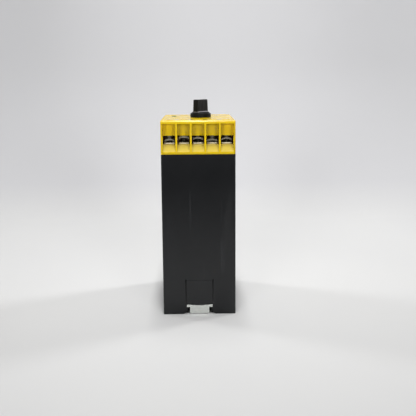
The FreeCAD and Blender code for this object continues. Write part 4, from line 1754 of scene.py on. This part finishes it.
@dataclass
class StatusLamp(SubAssembly):
    """The small lamp with its domed lens.

    Attributes:
        palette: Finishes.
        lens_radius: Radius of the lens.
        lens_rise: How far it stands over the front plate.
        face_level: Height of the front plate.
        flange_radius: Radius of the flange under the plate.
        flange: Thickness of the flange.
        plate: Thickness of the front plate.
        dome_steps: Faces up the lens.
    """

    palette: Palette
    lens_radius: float = 1.45
    lens_rise: float = 0.5
    face_level: float = FACE_LEVEL
    flange_radius: float = 1.9
    flange: float = 1.0
    plate: float = 1.6
    dome_steps: int = 10

    def build(self) -> Piece:
        """Makes the lamp.

        Returns:
            The piece.
        """
        low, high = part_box("status_lamp")
        under, seat = -self.plate, -self.plate - self.flange
        outline = [(0.0, seat), (self.flange_radius, seat), (self.flange_radius, under)]
        outline.append((self.lens_radius, under))
        outline += [(self.lens_radius * c, self.lens_rise * s) for c, s in arc(self.dome_steps)[:-1]]
        outline.append((0.0, self.lens_rise))
        lamp = as_object("lamp_lens", turned(outline, ROUND_SEGMENTS), Crease.DOMED)
        lamp.location = ((low.x + high.x) / 2, (low.y + high.y) / 2, self.face_level * MM)
        return lamp

    def dress(self, piece: Piece) -> None:
        """Finishes the lamp and its spacer."""
        self.fit(piece, Body.MODULE.value, self.palette.slot(Slot.LAMP), Slot.LAMP, ["status_lamp"])
        self.dress_node("lamp_spacer", Slot.SPACER)


@dataclass
class RailLatch(SubAssembly):
    """The sprung latch at the foot, with its coil spring.

    Attributes:
        palette: Finishes.
        edge_radius: Rounding of the sheet's edges.
        edge_steps: Faces across that rounding.
        spring_radius: Radius of the coil's middle line.
        wire_radius: Radius of the wire.
        wire_sides: Faces round the wire.
        turns: Number of turns.
        steps_per_turn: Rings of faces in a turn.
        travel: How far the latch slides out; not used.
    """

    palette: Palette
    edge_radius: float = 0.18
    edge_steps: int = 3
    spring_radius: float = 1.5
    wire_radius: float = 0.22
    wire_sides: int = 10
    turns: int = 5
    steps_per_turn: int = 28
    travel: float = 3.0

    def build(self) -> Piece:
        """Makes the latch with rounded sheet edges."""
        return rounded_copy("rail_latch", "latch_strip", self.edge_radius, self.edge_steps)

    def build_spring(self) -> Piece:
        """Makes the coil spring between the housing's peg and the latch.

        Returns:
            The piece.
        """
        low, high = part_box("latch_spring")
        start, end = low.y / MM + self.wire_radius, high.y / MM - self.wire_radius
        level = (low.z + high.z) / 2 / MM
        rings = []
        for step in range(self.turns * self.steps_per_turn + 1):
            turn = step / self.steps_per_turn
            across, up = math.cos(FULL_TURN * turn), math.sin(FULL_TURN * turn)
            middle = start + (end - start) * turn / self.turns
            ring = []
            for side in range(self.wire_sides):
                bend = FULL_TURN * side / self.wire_sides
                reach = self.spring_radius + self.wire_radius * math.cos(bend)
                y = middle + self.wire_radius * math.sin(bend)
                ring.append((reach * across, y, level + reach * up))
            rings.append(ring)
        return as_object("latch_coil", lofted(rings), Crease.SMOOTH)

    def dress(self, piece: Piece, spring: Piece) -> None:
        """Plates latch and spring, and gives the spring a mesh of its own.

        Args:
            piece: The latch.
            spring: The spring.
        """
        self.fit(piece, Body.LATCH.value, self.palette.slot(Slot.LATCH), Slot.LATCH, ["rail_latch"])
        self.fit(spring, Body.MODULE.value, self.palette.slot(Slot.SPRING), Slot.SPRING, ["latch_spring"])
        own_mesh(spring)


@dataclass
class Electronics(SubAssembly):
    """Boards and components inside the housing.

    Attributes:
        palette: Finishes.
        slots: Slot of each solid.
    """

    palette: Palette
    slots: dict[str, Slot] = field(
        default_factory=lambda: {
            "potentiometer": Slot.POT,
            "terminal_board": Slot.BOARD,
            "main_board": Slot.BOARD,
            "board_header": Slot.CHIP,
            "storage_capacitor": Slot.CAN,
            "film_capacitor": Slot.FILM,
            "timer_chip": Slot.CHIP,
            "resistors": Slot.RESISTOR,
            "diodes": Slot.CHIP,
            "relay_1": Slot.RELAY,
            "relay_2": Slot.RELAY,
        }
    )

    def dress(self) -> None:
        """Gives every solid its finish."""
        for node, slot in self.slots.items():
            self.dress_node(node, slot)


@dataclass(frozen=True)
class SoftBox:
    """A large soft light.

    Attributes:
        name: Name of the light.
        place: Where it hangs.
        aim: What it looks at.
        size: Width and height.
        radiance: Brightness of its face seen straight on, where 1 is white.
        spread_deg: Angle that it shines into.
    """

    name: str
    place: Point
    aim: Point
    size: Pair
    radiance: float
    spread_deg: float = HALF_TURN_DEG

    def hang(self) -> None:
        """Adds the light to the scene."""
        light = bpy.data.lights.new(self.name, "AREA")
        light.shape = "RECTANGLE"
        light.size, light.size_y = self.size[0] * MM, self.size[1] * MM
        light.energy = self.radiance * math.pi * light.size * light.size_y
        if self.spread_deg < HALF_TURN_DEG:
            half = math.radians(self.spread_deg / 2)
            light.spread = 2 * half
            light.energy *= 1 - half / math.tan(half)
        lamp = bpy.data.objects.new(self.name, light)
        lamp.location = Vector(self.place) * MM
        lamp.rotation_euler = (Vector(self.aim) - Vector(self.place)).to_track_quat("-Z", "Y").to_euler()
        lamp.visible_camera = False
        bpy.context.scene.collection.objects.link(lamp)


@dataclass
class Studio:
    """Pale floor that sweeps up into a backdrop, soft light from both sides and above.

    Attributes:
        palette: Finishes.
        half_width: Half of the paper's width.
        front: Y of the paper's front edge.
        sweep_start: Y where the floor begins to rise.
        sweep_radius: Radius of the sweep.
        sweep_steps: Faces up the sweep.
        wall_top: Height of the backdrop.
        floor_gap: How far the floor lies under the module's feet.
        ambient: Colour of the light from all round.
        ambient_strength: Strength of that light.
        horizon_strength: How bright the air looks beyond the paper, straight or in shiny surfaces.
    """

    palette: Palette
    half_width: float = 1600.0
    front: float = -2200.0
    sweep_start: float = 265.0
    sweep_radius: float = 170.0
    sweep_steps: int = 24
    wall_top: float = 1500.0
    floor_gap: float = 0.03
    ambient: Rgb = (1.0, 0.99, 0.97)
    ambient_strength: float = 0.03
    horizon_strength: float = 0.66

    def lights(self) -> list[SoftBox]:
        """The soft boxes.

        Returns:
            A small one over the camera, a strip overhead, a low fill on either side of the camera, a panel
            behind the module on either side, and one that washes the backdrop alone.
        """
        return [
            SoftBox("over_camera", (10, -320, 890), (0, 0, 40), (70, 160), 66.0, 60.0),
            SoftBox("overhead_strip", (0, -10, 600), (0, -10, 0), (40, 420), 29.0),
            SoftBox("left_fill", (-345, -905, 245), (0, -20, 90), (260, 220), 21.5, 40.0),
            SoftBox("right_fill", (345, -905, 245), (0, -20, 90), (260, 220), 21.5, 40.0),
            SoftBox("left_panel", (-640, 340, 378), (0, 0, 20), (160, 260), 16.0, 120.0),
            SoftBox("right_panel", (640, 340, 378), (0, 0, 20), (160, 260), 22.0, 120.0),
            SoftBox("backdrop_wash", (50, -200, 520), (45, 435, 340), (340, 120), 16.8, 80.0),
        ]

    def build(self) -> Piece:
        """Makes the paper.

        Returns:
            The stage object.
        """
        start, radius = self.sweep_start, self.sweep_radius
        profile = [(self.front, 0.0)]
        profile += [(start + radius * s, radius * (1 - c)) for c, s in arc(self.sweep_steps)]
        profile.append((profile[-1][0], self.wall_top))
        shape = bmesh.new()
        sides = (-self.half_width, self.half_width)
        rows = [
            [shape.verts.new((x * MM, y * MM, (z - self.floor_gap) * MM)) for x in sides]
            for y, z in profile
        ]
        for low, high in zip(rows, rows[1:]):
            shape.faces.new((low[0], low[1], high[1], high[0]))
        paper = as_object("studio_paper", shape, Crease.SMOOTH)
        paper.data.materials.append(self.palette.named("studio_paper", PAPER))
        return paper

    def light(self) -> None:
        """Lights the studio at a plain level."""
        world = bpy.data.worlds.new("studio_air")
        world.use_nodes = True
        tree = world.node_tree
        air = tree.nodes["Background"]
        horizon = tree.nodes.new("ShaderNodeBackground")
        for glow, strength in ((air, self.ambient_strength), (horizon, self.horizon_strength)):
            glow.inputs["Color"].default_value = (*self.ambient, 1.0)
            glow.inputs["Strength"].default_value = strength
        seen = tree.nodes.new("ShaderNodeMixShader")
        path = tree.nodes.new("ShaderNodeLightPath")
        share = path.outputs["Is Camera Ray"]
        for kind in ("Is Glossy Ray", "Is Transmission Ray"):
            either = tree.nodes.new("ShaderNodeMath")
            either.operation = Sum.LARGER.value
            tree.links.new(share, either.inputs[0])
            tree.links.new(path.outputs[kind], either.inputs[1])
            share = either.outputs[0]
        tree.links.new(share, seen.inputs[0])
        tree.links.new(air.outputs[0], seen.inputs[1])
        tree.links.new(horizon.outputs[0], seen.inputs[2])
        tree.links.new(seen.outputs[0], tree.nodes["World Output"].inputs["Surface"])
        bpy.context.scene.world = world
        for box in self.lights():
            box.hang()


@dataclass(frozen=True)
class PhotoCamera:
    """The camera, at the photograph's viewpoint.

    Attributes:
        place: Where it stands.
        pitch_deg: How far it looks down.
        yaw_deg: How far it is turned about Z, to the left.
        roll_deg: How far it is tilted about its own axis.
        focal_px: Focal length in pixels of the frame.
        frame_px: Width and height of the frame in pixels.
        sensor: Width of the sensor.
        clip: Nearest and farthest distance that it sees, in metres.
    """

    place: Point = (-1.912, -447.976, 144.185)
    pitch_deg: float = 10.59
    yaw_deg: float = -1.054
    roll_deg: float = -0.401
    focal_px: float = 686.064
    frame_px: float = 416.0
    sensor: float = 36.0
    clip: Pair = (0.01, 20.0)

    def stand(self) -> None:
        """Adds the camera and makes it the scene's own."""
        data = bpy.data.cameras.new("photo_camera")
        data.sensor_width = self.sensor
        data.lens = self.focal_px / self.frame_px * self.sensor
        data.clip_start, data.clip_end = self.clip
        camera = bpy.data.objects.new("photo_camera", data)
        turn = Matrix.Rotation(math.radians(self.yaw_deg), 4, "Z")
        tilt = Matrix.Rotation(math.radians(90 - self.pitch_deg), 4, "X")
        roll = Matrix.Rotation(math.radians(self.roll_deg), 4, "Z")
        camera.matrix_world = Matrix.Translation(Vector(self.place) * MM) @ turn @ tilt @ roll
        bpy.context.scene.collection.objects.link(camera)
        bpy.context.scene.camera = camera


def main() -> None:
    """Builds and dresses the module, then sets up studio and camera."""
    logging.basicConfig(level=logging.INFO, format="%(name)s: %(message)s")
    palette = Palette()

    housing = Housing(palette)
    housing.dress(housing.build())
    cover = FrontCover(palette)
    cover.dress(cover.build(), cover.build_scale())
    for side in WireSide:
        for number in range(1, TERMINALS_PER_SIDE + 1):
            terminal = Terminal(palette, side, number)
            terminal.dress(terminal.build())
    knob = SettingKnob(palette)
    knob.dress(knob.build(), knob.build_pointer())
    lamp = StatusLamp(palette)
    lamp.dress(lamp.build())
    latch = RailLatch(palette)
    latch.dress(latch.build(), latch.build_spring())
    Electronics(palette).dress()

    bpy.context.scene.view_settings.view_transform = "Standard"
    studio = Studio(palette)
    studio.build()
    studio.light()
    PhotoCamera().stand()


if __name__ == "__main__":
    main()
